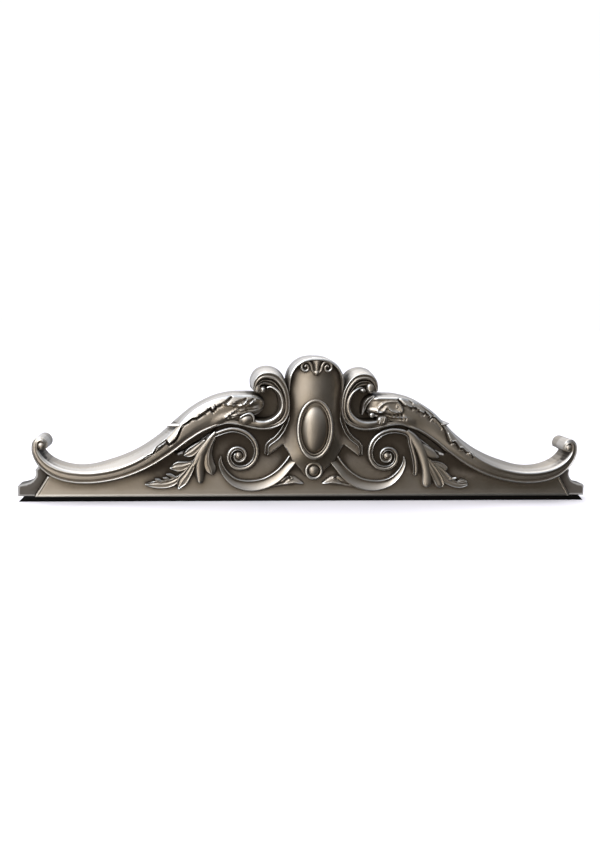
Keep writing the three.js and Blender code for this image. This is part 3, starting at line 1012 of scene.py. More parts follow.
@dataclass(frozen=True)
class AntiqueMetal:
    """Cast metal browned in its hollows with patina and painted shade, and rubbed bright on its high places
    with wear and painted highlight.

    Colours are linear RGBA; grain sizes are noise scales for metre coordinates.
    """

    # Bright metal on proud places: partly rubbed wear, partly painted highlight
    rubbed_and_highlight: RGBA = (0.68, 0.65, 0.60, 1)
    plain: RGBA = (0.40, 0.345, 0.28, 1)
    tarnish: RGBA = (0.262, 0.215, 0.160, 1)
    # Dark brown in the hollows: partly patina, partly painted shade
    patina_and_shade: RGBA = (0.036, 0.027, 0.018, 1)
    # Near black of the painted shadow on the sole and, in part, on the feet
    shadow_black: RGBA = (0.003, 0.0025, 0.002, 1)
    cloud_scale: float = 28.0
    grain_scale: float = 700.0
    grain_depth: float = 0.00004
    smooth_roughness: float = 0.30
    plain_roughness: float = 0.42
    patina_roughness: float = 0.62
    gloss: float = 0.05

    def material(self) -> bpy.types.Material:
        """The finish, which reads the attributes open, proud and high, and the painted shadow of the sole
        and feet.

        Returns:
            A node material.
        """
        made = bpy.data.materials.new("antique_metal")
        made.use_nodes = True
        graph = Graph(made.node_tree)
        place = graph.add("ShaderNodeTexCoord", output="Object")
        opened, proud = graph.attribute("open"), graph.attribute("proud")
        high, painted_shadow = graph.attribute("high"), graph.attribute("painted_shadow")
        cloud = graph.noise(place, self.cloud_scale, 5.0) - 0.5
        grain = graph.noise(place, self.grain_scale, 3.0)
        speckle = graph.noise(place, self.grain_scale * 0.35, 4.0) - 0.5
        # Patina and painted shade together: the less open a point, the darker it is painted
        hollow = (opened + cloud * 0.16 + speckle * 0.10).step(0.32, 1.0, 1.0, 0.0)
        bright = (proud + cloud * 0.35 + speckle * 0.25).step(0.30, 1.05)
        raised = (high + cloud * 0.25).step(0.38, 0.62)
        colour = graph.blend(raised, self.tarnish, self.plain)
        colour = graph.blend(hollow, colour, self.patina_and_shade)
        # Painted shadow: the sole is painted near black, and the feet are darkened with it
        colour = graph.blend(painted_shadow, colour, self.shadow_black)
        # Painted highlight with rubbed wear on proud places
        colour = graph.blend(bright * (1 - painted_shadow * painted_shadow) * 0.95, colour, self.rubbed_and_highlight)
        ends = {0: bright, 2: self.plain_roughness, 3: self.smooth_roughness}
        rough = graph.add("ShaderNodeMix", {"data_type": "FLOAT"}, ends)
        rough = rough + cloud * 0.10 + speckle * 0.08
        rough = rough + (hollow + painted_shadow).step(0.0, 1.0) * (self.patina_roughness - self.plain_roughness)
        metallic = (hollow * 0.55 + painted_shadow).step(0.0, 1.0, 1.0, 0.0)
        ridges = {"Strength": 1.0, "Distance": self.grain_depth, "Height": grain}
        inputs = {
            "Base Color": colour,
            "Roughness": rough,
            "Metallic": metallic,
            "Normal": graph.add("ShaderNodeBump", {}, ridges),
            "Specular IOR Level": self.gloss,
        }
        shader = graph.add("ShaderNodeBsdfPrincipled", {}, inputs)
        graph.add("ShaderNodeOutputMaterial", {}, {"Surface": shader})
        return made


@dataclass(frozen=True)
class PaleFloor:
    """A plain pale matt floor."""

    colour: RGBA = (0.83, 0.765, 0.74, 1)
    half_size: float = 12.0

    def make(self, level: float) -> bpy.types.Object:
        """A flat square, which the metal doesn't mirror.

        Args:
            level: Its height.

        Returns:
            The floor, staged.
        """
        mesh = bpy.data.meshes.new("floor")
        half = self.half_size
        corners = [(-half, -half, level), (half, -half, level), (half, half, level), (-half, half, level)]
        mesh.from_pydata(corners, [], [(0, 1, 2, 3)])
        floor = bpy.data.objects.new("floor", mesh)
        made = bpy.data.materials.new("pale_floor")
        made.use_nodes = True
        graph = Graph(made.node_tree)
        shader = graph.add("ShaderNodeBsdfDiffuse", {}, {"Color": self.colour})
        graph.add("ShaderNodeOutputMaterial", {}, {"Surface": shader})
        mesh.materials.append(made)
        bpy.context.scene.collection.objects.link(floor)
        floor.visible_glossy = False
        return floor


@dataclass(frozen=True)
class Studio:
    """Camera, light and floor.

    The camera's place comes from the photograph's vanishing lines: turned yaw to the left and raised by
    pitch, with a picture whose long side spans sensor / lens of the distance. Lengths are in metres.
    """

    yaw: float = math.radians(6.79)
    pitch: float = math.radians(7.56)
    roll: float = math.radians(1.28)
    distance: float = 0.90074
    aim: tuple[float, float] = (-0.01208, 0.07651)
    sensor: float = 36.0
    picture_height: float = 853.0
    focal_pixels: float = 850.0
    white: float = 1.02
    key_place: tuple[float, float, float] = (-1.3, -1.2, 1.2)
    key_aim: tuple[float, float, float] = (0.0, 0.0, 0.06)
    key_size: float = 1.6
    key_power: float = 30.0
    sky_place: tuple[float, float, float] = (0.0, 0.45, 1.0)
    sky_power: float = 2.0
    sky_spread: float = math.radians(70)
    cool: tuple[float, float, float] = (0.93, 0.98, 1.06)

    def camera(self, back: float) -> bpy.types.Object:
        """The camera, aimed at a point on the plane of the flat back.

        Args:
            back: Y of the flat back.

        Returns:
            The scene's camera.
        """
        data = bpy.data.cameras.new("camera")
        data.sensor_width = self.sensor
        data.lens = self.focal_pixels * self.sensor / self.picture_height
        data.clip_start, data.clip_end = 0.01, 100
        flat = math.cos(self.pitch)
        toward = Vector((math.sin(self.yaw) * flat, math.cos(self.yaw) * flat, -math.sin(self.pitch)))
        level = toward.cross(Vector((0, 0, 1))).normalized()
        over = level.cross(toward)
        right = level * math.cos(self.roll) + over * math.sin(self.roll)
        up = over * math.cos(self.roll) - level * math.sin(self.roll)
        turn = Matrix((right, up, -toward)).transposed().to_4x4()
        place = Vector((self.aim[0], back, self.aim[1])) - toward * self.distance
        item = bpy.data.objects.new("camera", data)
        item.matrix_world = Matrix.Translation(place) @ turn
        bpy.context.scene.collection.objects.link(item)
        bpy.context.scene.camera = item
        return item

    def surround(self) -> None:
        """White surroundings to the camera, and for the metal a soft sky, brighter above and to the left.

        The glow is made of smooth steps of the direction: light from above, a pale strip in front on the
        left, a narrow bright gleam in it, and a wide light behind.
        """
        world = bpy.data.worlds.new("studio")
        bpy.context.scene.world = world
        world.use_nodes = True
        graph = Graph(world.node_tree)
        ray = graph.add("ShaderNodeTexCoord", output="Generated")
        parts = graph.add("ShaderNodeSeparateXYZ", {}, {0: ray})
        node = parts.socket.node
        x, y, z = (Wire(graph, node.outputs[k]) for k in range(3))
        above = z.step(0.04, 0.60)
        zenith = z.step(0.55, 1.0)
        strip = x.step(-0.22, 0.18, 1.0, 0.0) * x.step(-0.7, -0.42, 0.12, 1.0)
        gleam = x.step(-0.50, -0.41) * x.step(-0.34, -0.24, 1.0, 0.0)
        gleam = gleam * z.step(-0.85, -0.4) * z.step(0.5, 0.8, 1.0, 0.0)
        behind = y.step(0.0, 0.7)
        left = x.step(-0.7, 0.7, 1.0, 0.40)
        below = z.step(-0.6, -0.05, 0.25, 1.0)
        front = (strip * below * 0.9 + gleam * 3.3) * (1 - behind)
        over = above * (1.4 - behind * 0.95) - zenith + behind * below * (1.5 - zenith)
        glow = 0.05 + over * left + front
        tint = graph.blend((above + behind).step(0.0, 1.0), (1.0, 0.97, 0.93, 1), (0.87, 0.96, 1.12, 1))
        seen = graph.add("ShaderNodeLightPath", output="Is Camera Ray")
        level = graph.add("ShaderNodeMix", {"data_type": "FLOAT"}, {0: seen, 2: glow, 3: self.white})
        tint = graph.blend(seen, tint, (1, 1, 1, 1))
        shade = graph.add("ShaderNodeBackground", {}, {"Color": tint, "Strength": level})
        graph.add("ShaderNodeOutputWorld", {}, {"Surface": shade})
        bpy.context.scene.view_settings.view_transform = "Standard"

    def light(self) -> None:
        """The surroundings, a large soft key light on the left and a wide soft sky light above."""
        self.surround()
        key = bpy.data.lights.new("key", "AREA")
        key.shape, key.size, key.energy = "DISK", self.key_size, self.key_power
        sky = bpy.data.lights.new("sky", "SUN")
        sky.energy, sky.angle = self.sky_power, self.sky_spread
        ahead = Vector(self.key_aim) - Vector(self.key_place)
        for data, place, turn in (
            (key, self.key_place, ahead.to_track_quat("-Z", "Y")),
            (sky, self.sky_place, Vector(self.sky_place).to_track_quat("Z", "Y")),
        ):
            data.color = self.cool
            lamp = bpy.data.objects.new(data.name, data)
            lamp.location = place
            lamp.rotation_euler = turn.to_euler()
            bpy.context.scene.collection.objects.link(lamp)


ROLLED = Section(
    (
        (-1, 0, -3.8), (-1, 0.4, -2.7), (-1, 1.1, -1.9), (-1, 1.8, -2.0), (-1, 2.5, -2.8),
        (-1, 3.2, -2.4), (-0.3, 0, -1.2), (0.1, 0, -0.9), (1, -5.0, -0.9), (1, -3.9, -0.5),
        (1, -2.8, 0.15), (1, -1.8, 0.25), (1, -0.8, -0.4), (1, 0, -2.4),
    ),
    full=5.5,
    fine=5,
)
OUTER_BANDED = Section(
    (
        (1, -14.4, -7.4), (1, -13.6, -5.2), (1, -12.6, -4.2), (1, -11.8, -4.0), (1, -11.0, -5.6),
        (1, -10.4, -5.7), (1, -9.6, -3.7), (1, -8.8, -3.2), (1, -8.0, -4.9), (1, -7.3, -5.4),
        (1, -6.7, -2.2), (1, -6.1, -0.7), (1, -5.1, -0.1), (1, -3.9, -0.5), (1, -2.9, -1.7),
        (1, -2.1, -0.7), (1, -1.2, 0.4), (1, -0.45, -0.2), (1, 0, -2.2),
    ),
    full=7.2,
)
ROLL = Section(
    (
        (-1, 0, -3.2), (-0.9, 0, -1.3), (-0.6, 0, -0.2), (-0.2, 0, 0.1), (0.2, 0, -0.1), (0.6, 0, -0.7),
        (0.9, 0, -1.8), (1, 0, -3.2),
    ),
    full=2.2,
)
LOWER_BEAD = Section(((-1, 0, -1.8), (-0.6, 0, -0.3), (0, 0, 0.1), (0.6, 0, -0.3), (1, 0, -1.8)), full=1.2)
RIBBON = Section(
    (
        (-1, 0, -2.8), (-0.93, 0, -1.0), (-0.76, 0, -0.1), (-0.58, 0, -0.4), (-0.44, 0, -1.5),
        (-0.3, 0, -1.5), (-0.12, 0, -0.6), (0.2, 0, -0.2), (0.55, 0, -0.3), (0.86, 0, -1.1),
        (1, 0, -2.8),
    ),
    full=2.4,
)
TWO_LINES = Section(
    (
        (-1, 0, -2.6), (-0.92, 0, -0.5), (-0.74, 0, 0.0), (-0.54, 0, -0.6), (-0.36, 0, -2.2),
        (0, 0, -2.5), (0.36, 0, -2.2), (0.54, 0, -0.6), (0.74, 0, 0.0), (0.92, 0, -0.5), (1, 0, -2.6),
    ),
    full=2.2,
)
DISHED = Section(
    (
        (-1, 0, -2.2), (-1, 0.3, -0.5), (-1, 1.0, 0.1), (-1, 1.7, -0.7), (-1, 2.2, -2.6),
        (-1, 2.9, -3.2), (-0.1, 0, -2.2), (0.4, 0, -0.8), (0.74, 0, 0.2), (0.92, 0, -0.6),
        (1, 0, -2.8),
    ),
    full=4.6,
    fine=5,
)
RIDGED = Section(
    (
        (-1, 0, -2.8), (-0.9, 0, -1.5), (-0.6, 0, -1.1), (-0.3, 0, -0.6), (-0.08, 0, 0.3),
        (0.08, 0, 0.3), (0.3, 0, -0.6), (0.6, 0, -1.1), (0.9, 0, -1.5), (1, 0, -2.8),
    ),
    full=2.4,
)
RIMMED = Section(
    (
        (-1, 0, -2.8), (-0.93, 0, -1.0), (-0.76, 0, -0.1), (-0.55, 0, -0.5), (-0.3, 0, -0.7),
        (0.0, 0, -0.2), (0.3, 0, -0.4), (0.6, 0, -0.5), (0.78, 0, -0.2), (0.93, 0, -1.1), (1, 0, -2.8),
    ),
    full=3.0,
)
FINGER = Section(
    (
        (-1, 0, -3.2), (-0.9, 0, -1.4), (-0.7, 0, -0.4), (-0.35, 0, 0.0), (0.05, 0, 0.0),
        (0.5, 0, -0.5), (0.85, 0, -1.5), (1, 0, -3.2),
    ),
    full=3.0,
)
ARCHED = Section(
    ((-1, 0, -4), (-0.8, 0, -1.6), (-0.4, 0, -0.3), (0, 0, 0), (0.4, 0, -0.3), (0.8, 0, -1.6), (1, 0, -4))
)
RIM = Section(((-1, 0, -1.6), (-0.7, 0, -0.5), (0, 0, 0), (0.7, 0, -0.5), (1, 0, -1.6)))
HOODED = Section(
    (
        (-1, 0, -4.6), (-0.9, 0, -1.6), (-0.55, 0, -0.2), (-0.1, 0, 0.0), (0.3, 0, -0.2), (0.7, 0, -0.7),
        (1, 0, -1.9),
    ),
    full=1.2,
)

LONG_LEAF = Carving(
    leaf=Patch(
        (
            (58, 112), (59.5, 105), (66, 101.4), (74, 100.2), (84, 99.4), (92, 100), (97, 100),
            (101, 98.6), (104.6, 94.4), (107, 97.4), (112, 93.8), (117, 90), (120, 87.8), (125, 87),
            (130, 83.2), (134.2, 80.6), (137, 76.3), (139.4, 70), (141, 66.8), (144.6, 63.6),
            (148, 60.8), (151.2, 65.2), (155.6, 62.6), (160, 59.8), (162.2, 56), (164, 52.2),
            (168, 50.4), (173, 47.6), (178, 52), (165, 66), (150, 82), (135, 97), (118, 110),
            (100, 118), (80, 120), (62, 118),
        ),
        edge=0.9,
    ),
    strokes=(
        Stroke(
            (
                (86.4, 108.4), (90.6, 104.2), (95.6, 100.8), (101, 98.6), (104.8, 93.6), (107, 96.8),
                (112, 93.2), (117, 89.4), (120, 87.2), (125, 86.4), (130, 82.6), (134, 80),
                (136.6, 76), (139, 69.8), (140.8, 66), (144.4, 62.8), (148, 60), (151.4, 64.6),
                (155.4, 62), (159.6, 59.2), (161.8, 55.4), (163.6, 51.6), (168, 49.8), (173, 47),
            ),
            (1.0, 1.2, 0.9, 1.1, 0.9, 0.85, 0.8, 0.9, 0.8, 0.7, 0.45), -3.0,
        ),
        Stroke(((101.4, 98.6), (102.6, 101)), (0.6, 0.3), -1.8),
        Stroke(((63, 107.8), (67, 104.8), (71.6, 100.8)), (0.6, 1.2, 0.5), -2.4),
        Stroke(((71.4, 107.4), (74.4, 104.8), (79, 102.4), (85, 100.9)), (0.8, 1.9, 1.5, 0.4), -3.2),
        Stroke(((60.4, 108.8), (64.6, 105), (69.4, 100.8)), (0.5, 0.8, 0.4), 0.7),
        Stroke(((70, 106.6), (73.6, 102), (78.6, 99.6), (84.6, 98.8)), (0.5, 0.8, 0.7, 0.4), 0.8),
        Stroke(((79.6, 97.4), (86, 93), (93, 87.4)), (0.5, 0.75, 0.6), 1.2),
        Stroke(((57, 102.4), (63, 99.4), (71, 98), (78, 97.4)), (0.5, 0.8, 0.6, 0.4), -1.3),
        Stroke(((60, 96.8), (67, 96.4), (74, 94), (80, 92.2)), (0.5, 0.9, 0.8, 0.4), -1.7),
        Stroke(((78, 94.6), (84, 91.4), (90, 88)), (0.5, 0.8, 0.4), -1.2),
        Stroke(((76, 90), (82, 89.6), (88, 88)), (0.5, 0.8, 0.4), -1.2),
        Stroke(((151.6, 63.6), (156, 60), (161.6, 56.2)), (0.4, 0.8, 0.4), 0.9),
    ),
)
RAGGED_LEAF = Carving(
    leaf=Patch(
        (
            (86, 108.6), (91, 102.8), (96, 100.6), (101, 99.8), (104.6, 100), (110, 95), (113.6, 93.6),
            (114.6, 96), (118, 92.4), (120.4, 88.6), (122.4, 91), (126, 90), (130.6, 85.4),
            (135.4, 79.8), (137.4, 76), (139, 71), (141, 66), (143.6, 63.8), (147, 65.6),
            (149.6, 63.4), (153, 58.4), (157.4, 58), (161, 54.2), (165, 55), (168.6, 49), (172, 52),
            (160, 68), (146, 84), (130, 98), (112, 110), (96, 116), (84, 116),
        ),
        edge=0.8,
    ),
    lobes=(
        (
            Patch(
                (
                    (63, 98.2), (65.4, 101.6), (68.6, 104.6), (73, 106.6), (79, 107.2), (85.2, 107),
                    (88.4, 104), (91, 99.6), (92.2, 96.2), (90, 94.2), (82, 93.8), (78, 95.6),
                    (74.4, 98.4), (72.6, 96), (68.6, 93.4), (63.4, 93.4),
                ),
                edge=1.1,
            ),
            2.0,
        ),
        (Patch(((143, 66.4), (149, 67), (151.6, 62), (148.6, 60.4), (144.4, 62)), edge=0.8), 0.9),
        (Patch(((151, 60), (157, 60.6), (160, 56), (156, 54.6), (152.4, 56)), edge=0.8), 0.9),
        (Patch(((162.6, 54.6), (167, 54.6), (170, 49), (167, 47.6), (164, 49.6)), edge=0.8), 0.9),
    ),
    strokes=(
        Stroke(
            (
                (86, 107.6), (91, 101.8), (96, 99.6), (101, 99), (104.6, 99.2), (110, 94),
                (113.6, 92.6), (114.6, 95.2), (118, 91.6), (120.4, 87.2), (122.4, 90.2), (126, 89.2),
                (130.6, 84.6), (135.4, 78.8),
            ),
            (0.9, 0.7, 0.6, 0.8, 0.7, 0.7, 0.6), -2.2,
        ),
        Stroke(
            (
                (135.4, 78.8), (137.2, 75.2), (138.8, 70.6), (141, 65.2), (143.6, 62.6), (147, 64.6),
                (149.6, 62.6), (153, 57), (157.4, 57), (161, 53), (165, 54), (168.6, 47.8),
            ),
            (0.6, 0.7, 0.8, 0.7, 0.6, 0.7, 0.5), -2.0,
        ),
        Stroke(((122, 86.8), (127, 84), (133, 77.6)), (0.4, 0.6, 0.4), -1.1),
        Stroke(((96, 108.4), (100.6, 104.2)), (0.5, 0.8), -1.7),
        Stroke(((104, 106), (110, 101.6), (118, 96.2), (124, 91.6)), (0.4, 0.6, 0.6, 0.4), -1.2),
        Stroke(((88, 109), (93, 104), (99.4, 100.8)), (0.5, 0.7, 0.6), 0.8),
        Stroke(((136, 79.2), (138.4, 73.4)), (0.8, 0.6), 1.2),
        Stroke(((140, 74), (142, 69), (144, 66)), (0.5, 0.7, 0.5), 0.8),
        Stroke(((74.6, 98.6), (80, 95.4), (84, 94.6), (90, 95)), (0.5, 0.7, 0.7, 0.4), 0.9),
        Stroke(((84, 100.4), (88, 97.6), (91.6, 96.6)), (0.5, 0.8, 0.5), 0.9),
        Stroke(((59, 93.6), (67, 92.2), (74, 92.8), (80, 91.8), (92, 92)), (0.9, 1, 1, 0.8, 0.4), -2.8),
        Stroke(((80, 90.2), (88, 89.6), (95, 89.2)), (0.5, 0.7, 0.5), 0.9),
        Stroke(((80, 88.2), (87, 87.4), (95, 87.6)), (0.5, 0.7, 0.4), -1.4),
        Stroke(((62, 99), (66, 96.4), (70, 96)), (0.5, 0.9, 0.5), -0.8),
    ),
)


@dataclass
class LongScroll(Form):
    """One S-scroll: a rolled band from a small curl above the foot up to its snout, with a leaf along it."""

    side: Side
    path: Points = (
        (269.4, 55.8), (268.8, 60.4), (271.4, 64.4), (275.4, 65.4), (279.0, 62.2), (279.8, 55),
        (276.8, 46.5), (269.8, 38.2), (259.5, 31.8), (245, 27.8), (227, 26.8), (207, 29.4),
        (189, 34.6), (170, 43.6), (150, 57.4), (133, 72.4), (117, 85), (99, 93.2), (83, 98),
        (73, 99.8), (65, 100.4), (58, 100.6), (52, 100.4),
    )
    half: Sequence[float] = (
        1.0, 1.5, 2.0, 2.5, 2.9, 3.4, 4.3, 5.4, 6.1, 6.4, 6.4, 6.4, 6.6, 7, 7.8, 9.6, 12, 13.4, 12.4,
        10.8, 10.2, 9.8, 9.4,
    )
    drop: Sequence[float] = (
        1.5, 0.8, 0, 0, 0, 0, 0, 0, 0, 0, 0, 0, 0, 0, 0, 0, 0, 0, 0, 0.4, 1.0, 2.2, 4.0,
    )
    spread: Sequence[float] = (0, 0, 0, 0, 0, 0.2, 0.6, 1.4, 1.8, 2, 2, 2, 2, 2, 2, 2, 2, 2, 2, 2, 2, 2, 2)
    outer_spread: Sequence[float] = (
        0, 0, 0, 0, 0, 0, 0.2, 0.6, 1.2, 1.6, 3.0, 5.4, 6.2, 6.2, 5.6, 4.2, 2.2, 2, 2, 2, 2, 2, 2,
    )
    snout_length: float = 12.0
    curl_centre: tuple[float, float] = (273.4, 58.6)
    curl_ball: float = 4.7
    leaf_reach: float = 182.0
    leaf_crest: float = 0.25
    wedge_heel: float = 23.0

    @property
    def carving(self) -> Carving:
        """This side's leaf: long with a ragged slit under it on the left, with lobes on the right."""
        return LONG_LEAF if self.side is Side.LEFT else RAGGED_LEAF

    def carve(self, xz: Array, share: Array, rise: Array) -> Array:
        """The front with its leaf: an arched surface inside the leaf's outline, the rolled one elsewhere.

        The arch is LEAF_RISE less a square of the distance from its crest, steeper on the upper side.
        Toward the snout the scroll's lower bead fades into a plain rounded edge.

        Args:
            xz: Points (x, z).
            share: Their places across, -1 to 1.
            rise: Their rise in the rolled section.

        Returns:
            Their rise.
        """
        leafy = np.zeros(len(xz))
        near = xz[:, 0] < self.leaf_reach
        leafy[near] = self.carving.leaf.mask(xz[near])
        crest = self.leaf_crest
        arch = LEAF_RISE - np.where(share > crest, 4.0, 0.8) * ((share - crest) / (1 - crest)) ** 2
        plain = smooth(108, 94, xz[:, 0]) * smooth(-0.1, -0.45, share)
        rounded = -3.2 * smooth(-0.45, -1.0, share) ** 1.5 - 0.2
        total = (rise * (1 - plain) + rounded * plain) * (1 - leafy) + arch * leafy
        inner = smooth(-1.0, -0.86, share[near]) * smooth(1.0, 0.9, share[near])
        total[near] += self.carving.height(xz[near]) * inner
        return total

    def bud(self) -> list[Shell]:
        """The left mouth's bud under its curled lip, and the leaf point that stands above the scroll.

        Returns:
            Their surfaces.
        """
        front = BUD_DEPTH + 4.4
        lip = ((77.6, 88.4), (72.4, 91.4), (67, 92.4), (63.8, 89.4), (63.2, 84))
        point = ((134, 78.8), (140, 79.4), (147, 79.4), (152.4, 78.8))
        half, drop = (1.6, 1.5, 1.1, 0.3), (0, 0.4, 1.6, 3)
        wedge = Band(point, half, SCROLL_DEPTH - 0.4, RIDGED, drop, heel=self.wedge_heel)
        return [
            Dome((70.6, 86.6), (8.2, 6.0, 5.4), front, turn=math.radians(-16), skirt=12).shell(),
            Band(lip, (0.6, 1.1, 1.4, 1.2, 0.7), front, ARCHED, step=0.4, noses=(0.5, 0.6)).shell(),
            wedge.shell(),
        ]

    def beak(self) -> list[Shell]:
        """The right mouth's knob, teeth and beak, and the leaf point that stands above the scroll.

        Returns:
            Their surfaces.
        """
        knob = Dome((70.2, 86.4), (5.8, 5.0, 5.2), SCROLL_DEPTH + 0.4, turn=0.2, skirt=12, power=0.65)
        shells = [knob.shell()]
        for tooth in (((68.2, 90.6), (67.4, 86.6), (66.4, 82.6)), ((72.4, 90.8), (71.8, 87), (70.4, 83.4))):
            band = Band(tooth, (0.7, 0.9, 0.6), SCROLL_DEPTH + 1.0, ARCHED, step=0.4, noses=(0.6, 0.6))
            shells.append(band.shell())
        beak = ((60.5, 111), (55.4, 107.4), (52, 102.4), (50.6, 97), (49.6, 91.4))
        point = ((132, 82.6), (136, 83), (141.6, 83.4))
        return shells + [
            Dome((59.2, 91.6), (2.9, 3.0, 2.5), SCROLL_DEPTH - 0.8, skirt=12, power=0.6).shell(),
            Band(beak, (1.2, 1.9, 2.0, 1.5, 0.5), 30.6, TWO_LINES, drop=(0, 0, 1, 3, 6)).shell(),
            Band(point, (1.8, 1.8, 0.5), SCROLL_DEPTH, RIDGED, drop=(0, 0.6, 2)).shell(),
        ]

    def build(self) -> Build:
        """The scroll, its curl's ball and the foliage at its mouth.

        Returns:
            The piece.
        """
        made = Build(f"long_scroll_{self.side.name.lower()}")
        body = Band(
            self.path,
            self.half,
            SCROLL_DEPTH,
            ROLLED,
            drop=self.drop,
            spread=self.spread,
            outer_spread=self.outer_spread,
            heel=0.0,
            step=0.42,
            noses=(1.2, self.snout_length),
            nose_drop=9.0,
            ledge=0.5,
            wall=(0.06, 0.14, 0.25, 0.36, 0.44, 0.52, 0.7, 1.0),
        )
        ball = Dome(self.curl_centre, (self.curl_ball, 4.5, self.curl_ball), SCROLL_DEPTH + 0.6, skirt=22)
        foliage = self.bud() if self.side is Side.LEFT else self.beak()
        made.add_shells([body.shell(self.carve), ball.shell(), *foliage], self.side)
        return made


@dataclass
class ShortScroll(Form):
    """One C-scroll: its outer band, the roll inside its mouth, the bead under it, its tail and balls."""

    side: Side
    path: Points = (
        (62.6, 114.6), (61.2, 119.4), (59, 123.8), (55, 126.8), (48.8, 127.3), (42.8, 125.4),
        (37.2, 119.6), (33.3, 112.2), (31.6, 103), (32.2, 94), (35.8, 86.8), (43, 82.4), (52, 80.8),
        (62, 81.4), (74, 84), (90, 85.6), (106, 80.5), (120, 72.5),
    )
    half: Sequence[float] = (
        2.0, 3.4, 4.7, 6.1, 7.0, 7.2, 6.6, 5.5, 5.0, 5.1, 5, 4.7, 4.4, 4.4, 4.4, 4.2, 3.4, 2.5,
    )
    drop: Sequence[float] = (3, 1.5, 0.5, 0, 0, 0, 0, 0, 0.2, 1.0, 1.8, 2.4, 2.6, 2.6, 2.6, 2.8, 3, 4)
    outer_spread: Sequence[float] = (1, 2, 3, 4.0, 4.4, 4.0, 3, 2.4, 2, 2, 2, 2, 2, 2, 2, 2, 2, 2)
    roll_path: Points = (
        (50.6, 118), (46.6, 119.3), (41.8, 117.2), (37.2, 113), (34.4, 107.2), (33.4, 101),
        (34.6, 94.8), (38.2, 89.3), (43.4, 85), (50, 82.3), (56, 81.8), (62, 82.8), (69, 84.2),
        (78, 85.4),
    )
    roll_half: Sequence[float] = (0.6, 0.9, 1.2, 1.6, 2.1, 2.4, 2.6, 2.9, 3.2, 3.5, 3.6, 3.3, 2.6, 1.8)
    roll_drop: Sequence[float] = (2.6, 1.8, 1.0, 0.4, 0, 0, 0, 0, 0, 0, 0, 0.6, 1.4, 3)
    bead_path: Points = (
        (31.4, 90), (34.8, 83.8), (39.6, 79.8), (46, 77.4), (54, 76.8), (62, 77.6), (70, 79.6),
        (79, 82), (89, 83), (99, 81.6), (107, 77.4),
    )
    bead_half: Sequence[float] = (0.5, 1.1, 1.3, 1.4, 1.4, 1.4, 1.5, 1.6, 1.6, 1.4, 1.0)
    bead_drop: Sequence[float] = (2, 0.4, 0, 0, 0, 0, 0, 0, 0.4, 0.8, 2)
    tail_path: Points = (
        (29.4, 104), (28.4, 96), (28.2, 88), (30.6, 80.2), (34.4, 73), (40.2, 66.2), (45.4, 62.4),
        (48.2, 59.4), (49, 55.6), (49.2, 50),
    )
    tail_half: Sequence[float] = (1.6, 2.0, 2.3, 2.4, 2.5, 2.6, 2.6, 2.3, 2.2, 2.2)
    tail_drop: Sequence[float] = (-1, -0.5, 0, 0.3, 0.8, 1, 1, 1, 1, 1)

    @property
    def balls(self) -> tuple[Dome, Dome]:
        """The two small balls in this side's mouth.

        Returns:
            The two domes.
        """
        if self.side is Side.LEFT:
            return (
                Dome((54.2, 116.2), (3.0, 4.0, 3.5), 30.6, skirt=20),
                Dome((59.6, 117.4), (3.4, 3.6, 4.6), 29.4, turn=-0.3, skirt=18, power=0.8),
            )
        return (
            Dome((56.8, 119), (4.4, 5, 5.4), 32.0, turn=0.3, skirt=20, power=0.6),
            Dome((49.0, 116.6), (3.4, 4, 2.6), 30.2, turn=-0.2, skirt=18),
        )

    def build(self) -> Build:
        """The scroll, its roll, its bead, its tail and its balls.

        Returns:
            The piece.
        """
        made = Build(f"short_scroll_{self.side.name.lower()}")
        outer = Band(
            self.path,
            self.half,
            SCROLL_DEPTH,
            OUTER_BANDED,
            drop=self.drop,
            spread=(DRAFT, DRAFT),
            outer_spread=self.outer_spread,
            heel=0.1,
            step=0.6,
            noses=(1.5, 0.0),
            nose_drop=2.0,
            wall=(0.06, 0.15, 0.3, 0.5, 0.7, 1.0),
        )
        front = SCROLL_DEPTH - 0.6
        roll = Band(self.roll_path, self.roll_half, front, ROLL, self.roll_drop, step=0.5, noses=(0.8, 0))
        front = SCROLL_DEPTH - 2.4
        bead = Band(self.bead_path, self.bead_half, front, LOWER_BEAD, self.bead_drop, heel=12, step=0.6)
        tail = Band(
            self.tail_path,
            self.tail_half,
            VOLUTE_DEPTH + 2,
            TWO_LINES,
            self.tail_drop,
            step=0.5,
            noses=(0, 0.5),
            nose_drop=0.5,
        )
        made.add_shells([form.shell() for form in (outer, roll, bead, tail, *self.balls)], self.side)
        return made


